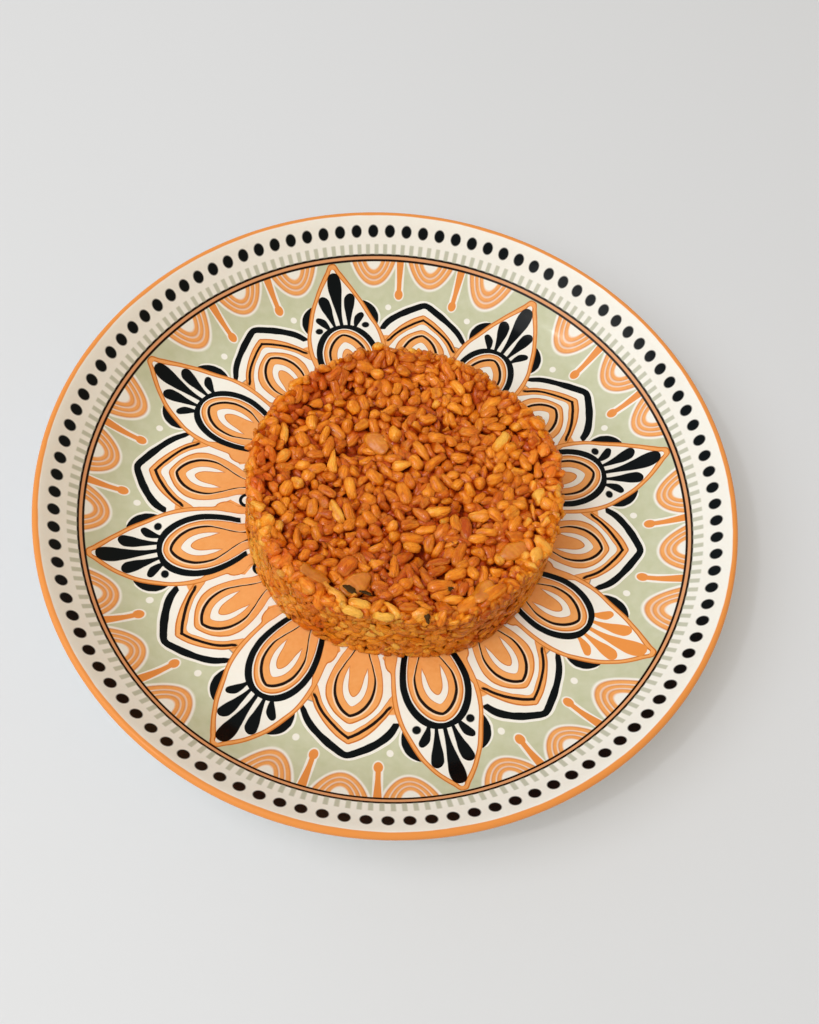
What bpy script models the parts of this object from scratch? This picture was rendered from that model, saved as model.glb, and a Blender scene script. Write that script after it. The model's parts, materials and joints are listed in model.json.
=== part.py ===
"""Bulgur pilaf: a round cake of cooked bulgur, pressed in a mould and turned out on a dinner plate.

Metres, +Z up. The origin is the middle of the plate's foot, on the surface that the plate stands on.
"""

import math
import random

import bmesh
import bpy
from mathutils import Matrix, Vector

# The plate: a flat well, a bend, a rim that curves up, a rolled lip, and a turned foot ring below.
PLATE_RADIUS = 0.130
WELL_HEIGHT = 0.0065
WELL_RADIUS = 0.0893
WELL_WALL = 0.0040
BEND_RADIUS = 0.0336
BEND_ANGLE = math.radians(36)
LIP_ANGLE = math.radians(50)
LIP_RADIUS = 0.0016
FOOT_RADIUS = 0.0730
FOOT_WIDTH = 0.0050
SHARP_ANGLE = math.radians(35)
PLATE_SIDES = 64
BEND_STEPS = 4
RIM_STEPS = 3
LIP_STEPS = 4

# The cake of pilaf, as it came out of its mould: out to the outline of its grains.
PLATE_GAP = 0.0003
CAKE_X = 0.0043
CAKE_Y = -0.0013
CAKE_HEIGHT = 0.0290
BASE_RADIUS = 0.0604
TOP_RADIUS = 0.0573
EDGE_ROUND = 0.0030
RIM_WIDTH = 0.0085
RECESS = 0.0036
RECESS_SWING = 0.0009
RECESS_DEEPEST = math.radians(205)

# Bulges and dents of the side: azimuth and half width in degrees, and how far out at the base and at the top.
SIDE_SWELLS = (
    (20, 14, 0.0003, 0.0020),
    (55, 9, -0.0006, -0.0026),
    (110, 16, 0.0004, 0.0005),
    (178, 22, -0.0012, 0.0002),
    (236, 13, 0.0009, 0.0010),
    (271, 17, -0.0009, -0.0022),
    (301, 14, 0.0008, 0.0018),
    (345, 15, -0.0003, 0.0009),
)

# Mounds and hollows of the top, measured from the cake's middle: x, y, radius and height.
TOP_MOUNDS = (
    (-0.020, 0.011, 0.008, -0.0024),
    (0.010, -0.026, 0.008, -0.0022),
    (0.023, -0.008, 0.007, -0.0016),
    (0.034, 0.020, 0.010, 0.0013),
    (0.040, -0.009, 0.012, 0.0015),
    (0.000, 0.018, 0.009, 0.0009),
    (-0.024, -0.015, 0.009, 0.0009),
    (0.020, -0.040, 0.012, 0.0009),
    (-0.031, 0.029, 0.010, -0.0008),
    (0.006, 0.041, 0.012, -0.0007),
)

# Cooked grains and the flat pieces of onion that stand out of the cake. Tilts and turns are in degrees,
# and a flake's place is its azimuth, its distance from the middle and its turn.
SEED = 28
GRAIN_LENGTH = 0.0088
GRAIN_WIDTH = 0.0052
GRAIN_SPREAD = 0.16
GRAIN_SIDES = 6
GRAIN_RINGS = 3
GRAIN_DEPTH = 0.0048
SIDE_GRAIN_DEPTH = 0.0034
TOP_TILT = 24
EDGE_TURN = 50
SIDE_TURN = 22
EDGE_JITTER = 0.2
SIDE_JITTER = 0.15
LOWEST_ROW = 0.55
TOP_GRAINS = 94
EDGE_GRAINS = 32
SIDE_ROWS = 4
SIDE_ROW_GRAINS = 25
FLAKE_LENGTH = 0.0125
FLAKE_WIDTH = 0.0085
FLAKE_DEPTH = 0.0024
FLAKES = (
    (237, 0.0505, 10),
    (254, 0.0455, 60),
    (130, 0.0190, 100),
    (308, 0.0520, 40),
    (331, 0.0480, 150),
)

# The core that carries them lies half a grain's depth below the outline.
TOP_CORE_INSET = GRAIN_DEPTH / 2
SIDE_CORE_INSET = SIDE_GRAIN_DEPTH / 2
CORE_SIDES = 36
CORE_TOP_RINGS = 6
CORE_WALL_RINGS = 4
CORE_EDGE_RINGS = 2

# Finishes.
PLATE_COLOUR = (0.86, 0.62, 0.40)
PLATE_ROUGHNESS = 0.18
BULGUR_COLOUR = (0.72, 0.29, 0.06)
BULGUR_ROUGHNESS = 0.38

# Short steps along a surface, which give its slope.
PROBE_TURN = 0.01
PROBE_STEP = 0.0005


def clear_scene():
    for thing in list(bpy.data.objects):
        bpy.data.objects.remove(thing, do_unlink=True)


def make_material(name, colour, roughness):
    """A plain Principled finish."""
    material = bpy.data.materials.new(name)
    material.use_nodes = True
    shader = material.node_tree.nodes["Principled BSDF"]
    shader.inputs["Base Color"].default_value = (*colour, 1.0)
    shader.inputs["Roughness"].default_value = roughness
    shader.inputs["Metallic"].default_value = 0.0
    material.diffuse_color = (*colour, 1.0)
    return material


def object_from_bmesh(name, bm, material):
    mesh = bpy.data.meshes.new(name)
    bm.to_mesh(mesh)
    bm.free()
    mesh.materials.append(material)
    thing = bpy.data.objects.new(name, mesh)
    bpy.context.scene.collection.objects.link(thing)
    return thing


def applied_mesh(thing):
    """The object's mesh with its modifiers applied."""
    graph = bpy.context.evaluated_depsgraph_get()
    graph.update()
    return bpy.data.meshes.new_from_object(thing.evaluated_get(graph), depsgraph=graph)


# Plate


def rim_curve_radius():
    """Radius of the rim's curve, which joins the end of the bend to the lip."""
    bend_end = WELL_RADIUS + BEND_RADIUS * math.sin(BEND_ANGLE)
    lip_start = PLATE_RADIUS - LIP_RADIUS - LIP_RADIUS * math.sin(LIP_ANGLE)
    return (lip_start - bend_end) / (math.sin(LIP_ANGLE) - math.sin(BEND_ANGLE))


def plate_top_point(angle):
    """Point (r, z) of the plate's upper face where it slopes by angle."""
    bend = min(angle, BEND_ANGLE)
    r = WELL_RADIUS + BEND_RADIUS * math.sin(bend)
    z = WELL_HEIGHT + BEND_RADIUS * (1 - math.cos(bend))
    if angle > BEND_ANGLE:
        rim = rim_curve_radius()
        r += rim * (math.sin(angle) - math.sin(BEND_ANGLE))
        z += rim * (math.cos(BEND_ANGLE) - math.cos(angle))
    return r, z


def plate_under_point(angle):
    """Point (r, z) of the plate's underside, below the upper face's point at the same angle."""
    wall = WELL_WALL + (2 * LIP_RADIUS - WELL_WALL) * angle / LIP_ANGLE
    r, z = plate_top_point(angle)
    return r + wall * math.sin(angle), z - wall * math.cos(angle)


def plate_profile():
    """The plate's section from the middle of its well, over the lip, to the middle of its underside."""
    bend = [BEND_ANGLE * k / BEND_STEPS for k in range(BEND_STEPS + 1)]
    rim = [BEND_ANGLE + (LIP_ANGLE - BEND_ANGLE) * k / RIM_STEPS for k in range(1, RIM_STEPS + 1)]
    points = [(0.0, WELL_HEIGHT)]
    points += [plate_top_point(angle) for angle in bend + rim]
    top_r, top_z = plate_top_point(LIP_ANGLE)
    lip_r = top_r + LIP_RADIUS * math.sin(LIP_ANGLE)
    lip_z = top_z - LIP_RADIUS * math.cos(LIP_ANGLE)
    for k in range(1, LIP_STEPS):
        turn = LIP_ANGLE + math.pi / 2 - math.pi * k / LIP_STEPS
        points.append((lip_r + LIP_RADIUS * math.cos(turn), lip_z + LIP_RADIUS * math.sin(turn)))
    points += [plate_under_point(angle) for angle in reversed(bend[::2] + rim[::2])]
    under = WELL_HEIGHT - WELL_WALL
    points.append((FOOT_RADIUS, under))
    points.append((FOOT_RADIUS - FOOT_WIDTH / 5, 0.0))
    points.append((FOOT_RADIUS - FOOT_WIDTH * 4 / 5, 0.0))
    points.append((FOOT_RADIUS - FOOT_WIDTH, under))
    points.append((0.0, under))
    return points


def make_plate(material):
    """The plate, its section turned about the Z axis."""
    bm = bmesh.new()
    corners = [bm.verts.new((r, 0.0, z)) for r, z in plate_profile()]
    for first, second in zip(corners, corners[1:]):
        bm.edges.new((first, second))
    plate = object_from_bmesh("plate", bm, material)
    turn = plate.modifiers.new("turned", "SCREW")
    turn.axis = "Z"
    turn.steps = PLATE_SIDES
    turn.render_steps = PLATE_SIDES
    turn.use_merge_vertices = True
    turn.merge_threshold = 0.00001
    plate.data = applied_mesh(plate)
    plate.modifiers.clear()
    plate.data.shade_smooth()
    plate.data.set_sharp_from_angle(angle=SHARP_ANGLE)
    return plate


# Cake of pilaf


def smooth_step(low, high, value):
    share = min(max((value - low) / (high - low), 0.0), 1.0)
    return share * share * (3 - 2 * share)


def side_swell(azimuth, share):
    """How far the side stands out at an azimuth, at a share of the cake's height."""
    out = 0.0
    for middle, half_width, low, high in SIDE_SWELLS:
        away = (math.degrees(azimuth) - middle + 180) % 360 - 180
        out += (low + (high - low) * share) * math.exp(-((away / half_width) ** 2))
    return out


def side_radius(azimuth, share):
    """Radius of the side at a share of the cake's height, before the edge is rounded."""
    return BASE_RADIUS + (TOP_RADIUS - BASE_RADIUS) * share + side_swell(azimuth, share)


def top_height(azimuth, radius):
    """Height of the cake's top above its base: a rim round a shallow, uneven recess."""
    inside = side_radius(azimuth, 1.0) - radius
    depth = RECESS + RECESS_SWING * math.cos(azimuth - RECESS_DEEPEST)
    height = CAKE_HEIGHT - depth * smooth_step(EDGE_ROUND, RIM_WIDTH, inside)
    x = radius * math.cos(azimuth)
    y = radius * math.sin(azimuth)
    for mound_x, mound_y, size, rise in TOP_MOUNDS:
        height += rise * math.exp(-((x - mound_x) ** 2 + (y - mound_y) ** 2) / size**2)
    return height


def cake_point(azimuth, radius, height):
    """A point of the cake in the plate's frame."""
    x = CAKE_X + radius * math.cos(azimuth)
    y = CAKE_Y + radius * math.sin(azimuth)
    return Vector((x, y, WELL_HEIGHT + PLATE_GAP + height))


def core_section(azimuth):
    """The core's section at an azimuth, up the side and in over the top: (radius, height) pairs."""
    section = []
    wall_top = CAKE_HEIGHT - TOP_CORE_INSET - EDGE_ROUND
    for k in range(CORE_WALL_RINGS + 1):
        height = wall_top * k / CORE_WALL_RINGS
        section.append((side_radius(azimuth, height / CAKE_HEIGHT) - SIDE_CORE_INSET, height))
    wall_radius = section[-1][0]
    for k in range(1, CORE_EDGE_RINGS + 1):
        turn = math.pi / 2 * k / CORE_EDGE_RINGS
        radius = wall_radius - EDGE_ROUND * (1 - math.cos(turn))
        section.append((radius, wall_top + EDGE_ROUND * math.sin(turn)))
    edge_radius = section[-1][0]
    for k in range(1, CORE_TOP_RINGS):
        radius = edge_radius * (1 - k / CORE_TOP_RINGS)
        section.append((radius, top_height(azimuth, radius) - TOP_CORE_INSET))
    return section


def make_core(material):
    """The cake's body under its grains."""
    bm = bmesh.new()
    rings = None
    for side in range(CORE_SIDES):
        azimuth = 2 * math.pi * side / CORE_SIDES
        column = [bm.verts.new(cake_point(azimuth, r, z)) for r, z in core_section(azimuth)]
        rings = [[] for _ in column] if rings is None else rings
        for ring, corner in zip(rings, column):
            ring.append(corner)
    for lower, upper in zip(rings, rings[1:]):
        for k in range(CORE_SIDES):
            nxt = (k + 1) % CORE_SIDES
            bm.faces.new((lower[k], lower[nxt], upper[nxt], upper[k]))
    middle = bm.verts.new(cake_point(0.0, 0.0, top_height(0.0, 0.0) - TOP_CORE_INSET))
    for k in range(CORE_SIDES):
        bm.faces.new((rings[-1][k], rings[-1][(k + 1) % CORE_SIDES], middle))
    bm.faces.new(list(reversed(rings[0])))
    return object_from_bmesh("pilaf", bm, material)


def make_grain_mesh():
    """A cooked grain one unit long, wide and deep, its long axis on X, with few sides."""
    bm = bmesh.new()
    turn = Matrix.Rotation(math.pi / 2, 4, "Y")
    bmesh.ops.create_uvsphere(bm, u_segments=GRAIN_SIDES, v_segments=GRAIN_RINGS, radius=0.5, matrix=turn)
    mesh = bpy.data.meshes.new("grain")
    bm.to_mesh(mesh)
    bm.free()
    return mesh


def top_spot(azimuth, radius):
    """Point, outward normal and sideways direction of the cake's top."""
    here = cake_point(azimuth, radius, top_height(azimuth, radius))
    beside = cake_point(azimuth + PROBE_TURN, radius, top_height(azimuth + PROBE_TURN, radius))
    inwards = cake_point(azimuth, radius - PROBE_STEP, top_height(azimuth, radius - PROBE_STEP))
    return spot_from(here, beside, inwards)


def side_spot(azimuth, height):
    """Point, outward normal and sideways direction of the cake's side."""
    share = height / CAKE_HEIGHT
    here = cake_point(azimuth, side_radius(azimuth, share), height)
    beside = cake_point(azimuth + PROBE_TURN, side_radius(azimuth + PROBE_TURN, share), height)
    above_share = share + PROBE_STEP / CAKE_HEIGHT
    above = cake_point(azimuth, side_radius(azimuth, above_share), height + PROBE_STEP)
    return spot_from(here, beside, above)


def spot_from(here, beside, onward):
    along = (beside - here).normalized()
    normal = along.cross(onward - here).normalized()
    return here, normal, along


def lay_piece(mesh, pile, spot, turn, tilt, size, sink):
    """Lays one piece at a spot, turned about the normal, tipped up by tilt and sunk to its own depth."""
    here, normal, along = spot
    across = normal.cross(along).normalized()
    basis = Matrix((along, across, normal)).transposed().to_4x4()
    spin = Matrix.Rotation(turn, 4, "Z") @ Matrix.Rotation(tilt, 4, "Y")
    place = Matrix.Translation(here - normal * sink) @ basis @ spin @ Matrix.Diagonal((*size, 1.0))
    lowest = min((place @ corner.co).z for corner in mesh.vertices)
    floor = WELL_HEIGHT + 2 * PLATE_GAP
    if lowest < floor:
        place = Matrix.Translation((0.0, 0.0, floor - lowest)) @ place
    piece = bpy.data.objects.new("grain", mesh)
    piece.matrix_world = place
    pile.objects.link(piece)


def grain_size(draw, depth):
    """Length, width and depth of one grain."""
    scale = 1 + GRAIN_SPREAD * draw.uniform(-1, 1)
    return GRAIN_LENGTH * scale, GRAIN_WIDTH * scale, depth * scale


def lay_flakes(mesh, pile):
    """The flat pieces of onion near the front edge and in the hollow."""
    size = (FLAKE_LENGTH, FLAKE_WIDTH, FLAKE_DEPTH)
    for azimuth, radius, turn in FLAKES:
        spot = top_spot(math.radians(azimuth), radius)
        lay_piece(mesh, pile, spot, math.radians(turn), 0.0, size, FLAKE_DEPTH / 2)


def lay_top_grains(mesh, pile, draw):
    """Grains over the top, evenly spread on a spiral, each turned and tipped its own way."""
    golden_turn = math.pi * (3 - math.sqrt(5))
    for k in range(TOP_GRAINS):
        radius = (TOP_RADIUS - RIM_WIDTH / 2) * math.sqrt((k + 0.5) / TOP_GRAINS)
        size = grain_size(draw, GRAIN_DEPTH)
        tilt = math.radians(draw.uniform(-TOP_TILT, TOP_TILT))
        turn = draw.uniform(0, math.pi)
        lay_piece(mesh, pile, top_spot(k * golden_turn, radius), turn, tilt, size, size[2] / 2)


def lay_edge_grains(mesh, pile, draw):
    """Grains along the top edge."""
    for k in range(EDGE_GRAINS):
        azimuth = 2 * math.pi * (k + draw.uniform(-EDGE_JITTER, EDGE_JITTER)) / EDGE_GRAINS
        radius = side_radius(azimuth, 1.0) - EDGE_ROUND
        size = grain_size(draw, GRAIN_DEPTH)
        turn = math.radians(draw.uniform(-EDGE_TURN, EDGE_TURN))
        lay_piece(mesh, pile, top_spot(azimuth, radius), turn, 0.0, size, size[2] / 2)


def lay_side_grains(mesh, pile, draw):
    """Grains pressed flat into the side, lying along it in staggered rows."""
    for row in range(SIDE_ROWS):
        height = (CAKE_HEIGHT - EDGE_ROUND) * (row + LOWEST_ROW) / SIDE_ROWS
        for k in range(SIDE_ROW_GRAINS):
            shift = row / 2 + draw.uniform(-SIDE_JITTER, SIDE_JITTER)
            azimuth = 2 * math.pi * (k + shift) / SIDE_ROW_GRAINS
            size = grain_size(draw, SIDE_GRAIN_DEPTH)
            turn = math.radians(draw.uniform(-SIDE_TURN, SIDE_TURN))
            lay_piece(mesh, pile, side_spot(azimuth, height), turn, 0.0, size, size[2] / 2)


def keep_largest_body(mesh):
    """Fills sealed hollows and drops loose scraps: only the largest closed surface stays."""
    bm = bmesh.new()
    bm.from_mesh(mesh)
    unseen = set(bm.faces)
    bodies = []
    while unseen:
        body = set()
        front = [unseen.pop()]
        while front:
            face = front.pop()
            body.add(face)
            for edge in face.edges:
                for other in edge.link_faces:
                    if other in unseen:
                        unseen.remove(other)
                        front.append(other)
        bodies.append(body)
    largest = max(bodies, key=len)
    loose = [face for body in bodies if body is not largest for face in body]
    bmesh.ops.delete(bm, geom=loose, context="FACES")
    bmesh.ops.triangulate(bm, faces=bm.faces[:])
    bm.to_mesh(mesh)
    bm.free()


def make_pilaf(material):
    """The cake: its core with the grains and flakes that show, joined into one body."""
    pilaf = make_core(material)
    grain = make_grain_mesh()
    pile = bpy.data.collections.new("grains")
    bpy.context.scene.collection.children.link(pile)
    draw = random.Random(SEED)
    lay_flakes(grain, pile)
    lay_top_grains(grain, pile, draw)
    lay_edge_grains(grain, pile, draw)
    lay_side_grains(grain, pile, draw)
    union = pilaf.modifiers.new("grains", "BOOLEAN")
    union.operation = "UNION"
    union.operand_type = "COLLECTION"
    union.collection = pile
    union.solver = "MANIFOLD"
    pilaf.data = applied_mesh(pilaf)
    pilaf.modifiers.clear()
    for piece in list(pile.objects):
        bpy.data.objects.remove(piece, do_unlink=True)
    bpy.data.collections.remove(pile)
    keep_largest_body(pilaf.data)
    return pilaf


def main():
    clear_scene()
    make_plate(make_material("glazed plate", PLATE_COLOUR, PLATE_ROUGHNESS))
    make_pilaf(make_material("cooked bulgur", BULGUR_COLOUR, BULGUR_ROUGHNESS))


main()
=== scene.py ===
"""Looks of the bulgur pilaf: a pressed cake of cooked bulgur on its glazed and painted dinner plate.

Metres and radians, +Z up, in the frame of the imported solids. Sizes in the lists below are in millimetres
and degrees, as they are easier to read. The plate's section and the cake's outline repeat the solids' own.
"""

import json
import math
import random

import bpy
import numpy as np
from mathutils import Matrix, Vector

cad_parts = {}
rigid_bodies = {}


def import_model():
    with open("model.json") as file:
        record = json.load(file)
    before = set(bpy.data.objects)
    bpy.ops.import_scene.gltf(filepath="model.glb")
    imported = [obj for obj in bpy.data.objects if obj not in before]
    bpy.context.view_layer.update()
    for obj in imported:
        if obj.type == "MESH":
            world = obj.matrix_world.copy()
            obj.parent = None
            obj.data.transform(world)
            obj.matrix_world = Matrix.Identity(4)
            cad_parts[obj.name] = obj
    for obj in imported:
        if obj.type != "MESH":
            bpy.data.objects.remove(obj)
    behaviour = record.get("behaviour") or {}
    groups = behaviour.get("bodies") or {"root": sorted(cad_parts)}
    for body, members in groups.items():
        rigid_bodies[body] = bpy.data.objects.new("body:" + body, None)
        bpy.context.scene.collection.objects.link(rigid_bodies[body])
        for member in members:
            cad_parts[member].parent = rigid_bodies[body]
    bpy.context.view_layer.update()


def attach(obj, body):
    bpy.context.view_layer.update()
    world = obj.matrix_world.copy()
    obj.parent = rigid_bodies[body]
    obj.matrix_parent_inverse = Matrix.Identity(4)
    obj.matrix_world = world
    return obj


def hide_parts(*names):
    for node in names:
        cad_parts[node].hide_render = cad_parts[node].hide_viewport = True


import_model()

MM = 0.001
SEED = 28

# The plate's section. The foot's own is in shares of its width, from its outer face, and of its height.
PLATE_RADIUS = 0.130
WELL_HEIGHT = 0.0065
WELL_RADIUS = 0.0893
WELL_WALL = 0.0040
BEND_RADIUS = 0.0336
BEND_ANGLE = math.radians(36)
LIP_ANGLE = math.radians(50)
LIP_RADIUS = 0.0016
FOOT_RADIUS = 0.0730
FOOT_WIDTH = 0.0050
FOOT_SECTION = (
    (-0.125, 1.0), (0.0, 0.9), (0.2, 0.2), (0.3, 0.0), (0.7, 0.0), (0.8, 0.2), (1.0, 0.9), (1.125, 1.0),
)
PLATE_SIDES = 256

# The cake's outline: its place, its taper, and the shallow recess inside its rim.
PLATE_GAP = 0.0003
CAKE_BASE = np.array((0.0043, -0.0013, WELL_HEIGHT + PLATE_GAP))
CAKE_HEIGHT = 0.0290
BASE_RADIUS = 0.0604
TOP_RADIUS = 0.0573
EDGE_ROUND = 0.0030
RIM_SLOPE = 0.0085
SLOPE_SWING = 0.0025
SLOPE_WIDEST = math.radians(100)
RECESS = 0.0033
RECESS_SWING = 0.0009
RECESS_DEEPEST = math.radians(205)

# Bulges and dents of the side: azimuth and half width, and how far out at the base and at the top in metres.
SIDE_SWELLS = (
    (20, 14, 0.0003, 0.0020), (55, 9, -0.0006, -0.0026), (110, 16, 0.0004, 0.0005),
    (178, 22, -0.0012, 0.0002), (236, 13, 0.0009, 0.0010), (271, 17, -0.0009, -0.0022),
    (301, 14, 0.0008, 0.0018), (345, 15, -0.0003, 0.0009),
)

# Mounds and hollows of the top, from the cake's middle: x, y, radius and rise in metres.
TOP_MOUNDS = (
    (-0.020, 0.011, 0.008, -0.0024), (0.010, -0.026, 0.008, -0.0022), (0.023, -0.008, 0.007, -0.0016),
    (0.034, 0.020, 0.010, 0.0013), (0.040, -0.009, 0.012, 0.0015), (0.000, 0.018, 0.009, 0.0009),
    (-0.024, -0.015, 0.009, 0.0009), (0.020, -0.040, 0.012, 0.0009), (-0.031, 0.029, 0.010, -0.0008),
    (0.006, 0.041, 0.012, -0.0007),
)

# Grains that stand out on the top, from the cake's middle: x, y, turn, length, width and paleness.
STANDING_OUT = (
    (-27.1, 4.8, 91, 9.8, 4.1, 0.95), (-29.8, 11.0, 85, 8.8, 3.5, 0.75), (-19.4, -5.7, 109, 8.5, 3.5, 0.85),
    (-46.7, 12.8, 106, 8.2, 3.2, 0.90), (-11.8, 40.1, 112, 7.2, 4.6, 0.70), (-34.3, 6.7, 9, 6.0, 3.5, 0.70),
    (0.0, -4.4, 113, 9.4, 4.6, 0.75), (-27.7, -8.1, 148, 7.4, 3.6, 0.70), (-46.0, 34.7, 17, 6.0, 3.6, 0.85),
    (-1.9, 30.7, 9, 7.2, 3.8, 0.75), (11.4, 49.7, 126, 7.6, 3.8, 0.70), (34.4, 21.1, 62, 9.4, 5.6, 0.90),
    (25.2, 28.0, 95, 5.8, 3.2, 0.85), (5.0, 13.1, 134, 8.6, 3.8, 0.80), (10.3, 9.2, 49, 9.3, 4.3, 0.70),
    (11.9, 0.2, 125, 6.6, 4.8, 0.75), (19.1, 12.5, 9, 6.0, 4.2, 0.80), (43.6, 14.0, 126, 6.8, 3.6, 0.80),
    (48.4, 11.0, 97, 6.0, 3.2, 0.80), (31.7, 27.8, 4, 6.2, 3.5, 0.75), (13.6, -10.8, 20, 8.8, 4.1, 0.95),
    (-0.1, -34.5, 101, 8.2, 3.8, 0.85), (5.5, -22.4, 6, 9.6, 4.0, 0.75), (17.1, -39.9, 14, 8.9, 4.6, 0.75),
    (35.4, -40.8, 44, 10.0, 5.0, 0.80), (26.1, -46.7, 42, 9.8, 5.6, 0.70),
    (18.5, -48.5, 118, 9.0, 4.6, 0.60), (1.1, -52.8, 150, 7.2, 3.9, 0.95),
    (-9.6, -52.2, 176, 8.0, 3.7, 0.95), (-17.7, -49.8, 139, 8.6, 3.8, 1.00),
    (-12.1, -55.6, 166, 6.8, 2.9, 1.00), (-1.4, -56.4, 2, 6.4, 3.2, 0.95),
    (23.9, -16.0, 103, 9.0, 4.3, 0.40), (-16.6, -36.4, 60, 8.0, 6.0, 0.55),
    (15.4, -31.0, 19, 8.3, 2.9, 0.55), (16.3, -34.0, 35, 8.4, 2.9, 0.60), (22.4, -26.6, 76, 9.2, 3.8, 0.65),
    (-23.4, -45.3, 105, 7.8, 3.0, 1.00), (-23.2, -16.4, 127, 9.3, 3.7, 1.00),
)

# Small holes between the grains, from the cake's middle: x, y and width.
HOLES = (
    (15.3, -52.0, 4.2), (10.3, -27.7, 4.6), (-20.5, 11.8, 5.4), (13.4, 24.3, 4.4), (23.6, -9.5, 3.4),
    (19.9, -33.0, 3.2), (4.1, -13.7, 3.6), (27.8, -13.9, 3.4), (-40.2, -1.6, 3.0), (-15.4, 31.0, 3.2),
)

# Flat pieces of onion: azimuth, distance from the middle, turn, length and width.
ONION = (
    (237, 50.5, 10, 12.5, 8.5), (254, 45.5, 60, 12.5, 8.0), (130, 19.0, 100, 11.5, 7.5),
    (308, 52.0, 40, 12.0, 8.0), (331, 48.0, 150, 11.0, 7.0),
)

# Dark flecks of herb: x and y from the cake's middle, turn, length and width.
HERBS = (
    (-14.0, -46.6, 150, 4.9, 3.9), (-8.4, -47.8, 168, 4.4, 2.0), (20.6, -41.6, 40, 2.2, 1.5),
    (13.6, -54.0, 100, 3.4, 1.9),
)

# Where red oil shows, with a painted glow of light through the edge grains; then painted light and shade: x,
# y, radius and strength.
OIL_AND_EDGE_GLOW = (
    (-52.0, 3.0, 5.0, 0.8), (-51.5, -10.0, 5.5, 1.0), (-39.0, -37.0, 7.0, 0.7), (-47.0, 22.0, 6.0, 0.4),
    (50.0, 20.0, 6.0, 0.5), (54.0, 10.0, 5.0, 0.6), (46.0, -20.0, 7.0, 0.3), (-38.0, 38.0, 6.0, 0.4),
    (-25.0, -50.0, 8.0, 0.4), (12.0, 52.0, 7.0, 0.2),
)
# Painted light and shade on the grains: spots above zero paint light on the edges and the front, those below
# paint shade.
PAINTED_LIGHT_AND_SHADE = (
    (-58.0, -6.0, 9.0, 0.36), (-52.0, -30.0, 10.0, 0.38), (-40.0, -45.0, 10.0, 0.38),
    (-12.0, -58.0, 12.0, 0.28), (55.0, -2.0, 10.0, 0.34), (50.0, -25.0, 9.0, 0.28),
    (40.0, 22.0, 12.0, 0.12), (8.0, 52.0, 14.0, 0.08), (0.0, -38.0, 16.0, -0.18), (8.0, -61.0, 13.0, 0.25),
    (38.0, -50.0, 10.0, -0.10),
)

# How the grains are packed. FLAT_SHARE of the top grains lie on the flat top, the rest on the edge's round,
# down to SIDE_TOP of the way up the outline. Settling moves grains by YIELDING of their overlap. One crumb in
# FLAKE_EVERY on the side is a flake of bran.
TOP_GRAINS = 530
SIDE_GRAINS = 920
FLAT_SHARE = 0.87
SIDE_TOP = 1.2
INNER_GRAINS = 1150
CRUMBS = 1100
FLAKE_EVERY = 4
SETTLE_ROUNDS = 80
PAIRING_ROUNDS = 8
PAIR_REACH = 0.0115
YIELDING = 0.22
CLEAR_OF_MARKED = 0.0033
CLOSENESS = 0.80
SWELLING = 1.16
PRESSING = 0.70
INNER_DEPTH = 0.0006
HOLE_DEPTH = 0.0016
CORE_DEPTH = 0.0036
CORE_SIDES = 120

# Grains of the top and the side in millimetres, by mean and spread of length and width, and their tones.
TOP_LENGTH, TOP_WIDTH = (6.2, 1.0), (4.0, 0.45)
SIDE_LENGTH, SIDE_WIDTH = (4.5, 1.1), (3.1, 0.5)
# Painted light and shade: the side's grains are paler than the top's, and the inner ones darker, where they
# show through gaps.
TOP_TONE, SIDE_TONE = (0.50, 0.13), (0.58, 0.15)
INNER_WIDTH, INNER_TONE = (4.2, 0.5), (0.40, 0.12)

# Crumbs and the flakes of bran among them: least and greatest length in millimetres, and the tones.
# Painted shade and highlight: crumbs in the gaps are darker; the flakes are paler bran that also stands in
# for small glints.
CRUMB_LENGTH, CRUMB_TONE = (1.8, 3.8), (0.42, 0.15)
FLAKE_TONE = (0.6, 0.9)

# The grain shapes: whole ones, each with the depth of its crease, then cracked ones, and small bits.
CREASES = (0.0, 0.28, 0.05, 0.0, 0.20, 0.0, 0.34, 0.06, 0.0, 0.16, 0.0, 0.24, 0.0, 0.05, 0.30, 0.0)
WHOLE_SHAPES = len(CREASES)
ALL_SHAPES = 24
BIT_SHAPES = 8
GRAIN_SIDES, GRAIN_RINGS = 10, 6
BIT_SIDES, BIT_RINGS = 7, 4

# Onion and herb: thickness, lift off the cake and raggedness.
ONION_SHEET = (0.0016, 0.0005, 0.04)
HERB_SHEET = (0.0007, 0.0013, 0.22)
LEAF_SIDES, LEAF_RINGS = 20, 5

# Waves that make the grains a little uneven, for shifts along x, y and z.
UNEVENNESS = (
    (1.31, 0.7, 1.17, 2.1, 2.33, 1.71, 3.1, 1.7, 0.4, 2.7, 0.9),
    (1.23, 0.3, 1.37, 1.9, 2.21, 1.83, 2.9, 1.9, 2.2, 3.3, 1.1),
    (1.29, 1.1, 1.43, 0.2, 2.41, 1.67, 3.2, 1.5, 1.3, 2.8, 1.3),
)

# The cake's skin laid out flat, in millimetres: the side lies beside the top, past its reach.
SIDE_OFFSET = 250
SIDE_UNROLLED = 58
CAKE_REACH = 65

# What each grain is marked with.
GRAIN_MARKS = {
    "turn": "FLOAT_VECTOR", "size": "FLOAT_VECTOR", "out": "FLOAT_VECTOR", "middle": "FLOAT_VECTOR",
    "shape": "INT", "tone": "FLOAT", "oil": "FLOAT", "seed": "FLOAT",
}


def paint(code):
    """The linear colour of a six-figure hexadecimal one, with nothing see-through."""
    steps = [int(code[k : k + 2], 16) / 255 for k in (0, 2, 4)]
    return *(step / 12.92 if step < 0.04045 else ((step + 0.055) / 1.055) ** 2.4 for step in steps), 1.0


def clamp(value, low, high):
    return min(max(value, low), high)


# Shader maths


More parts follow.
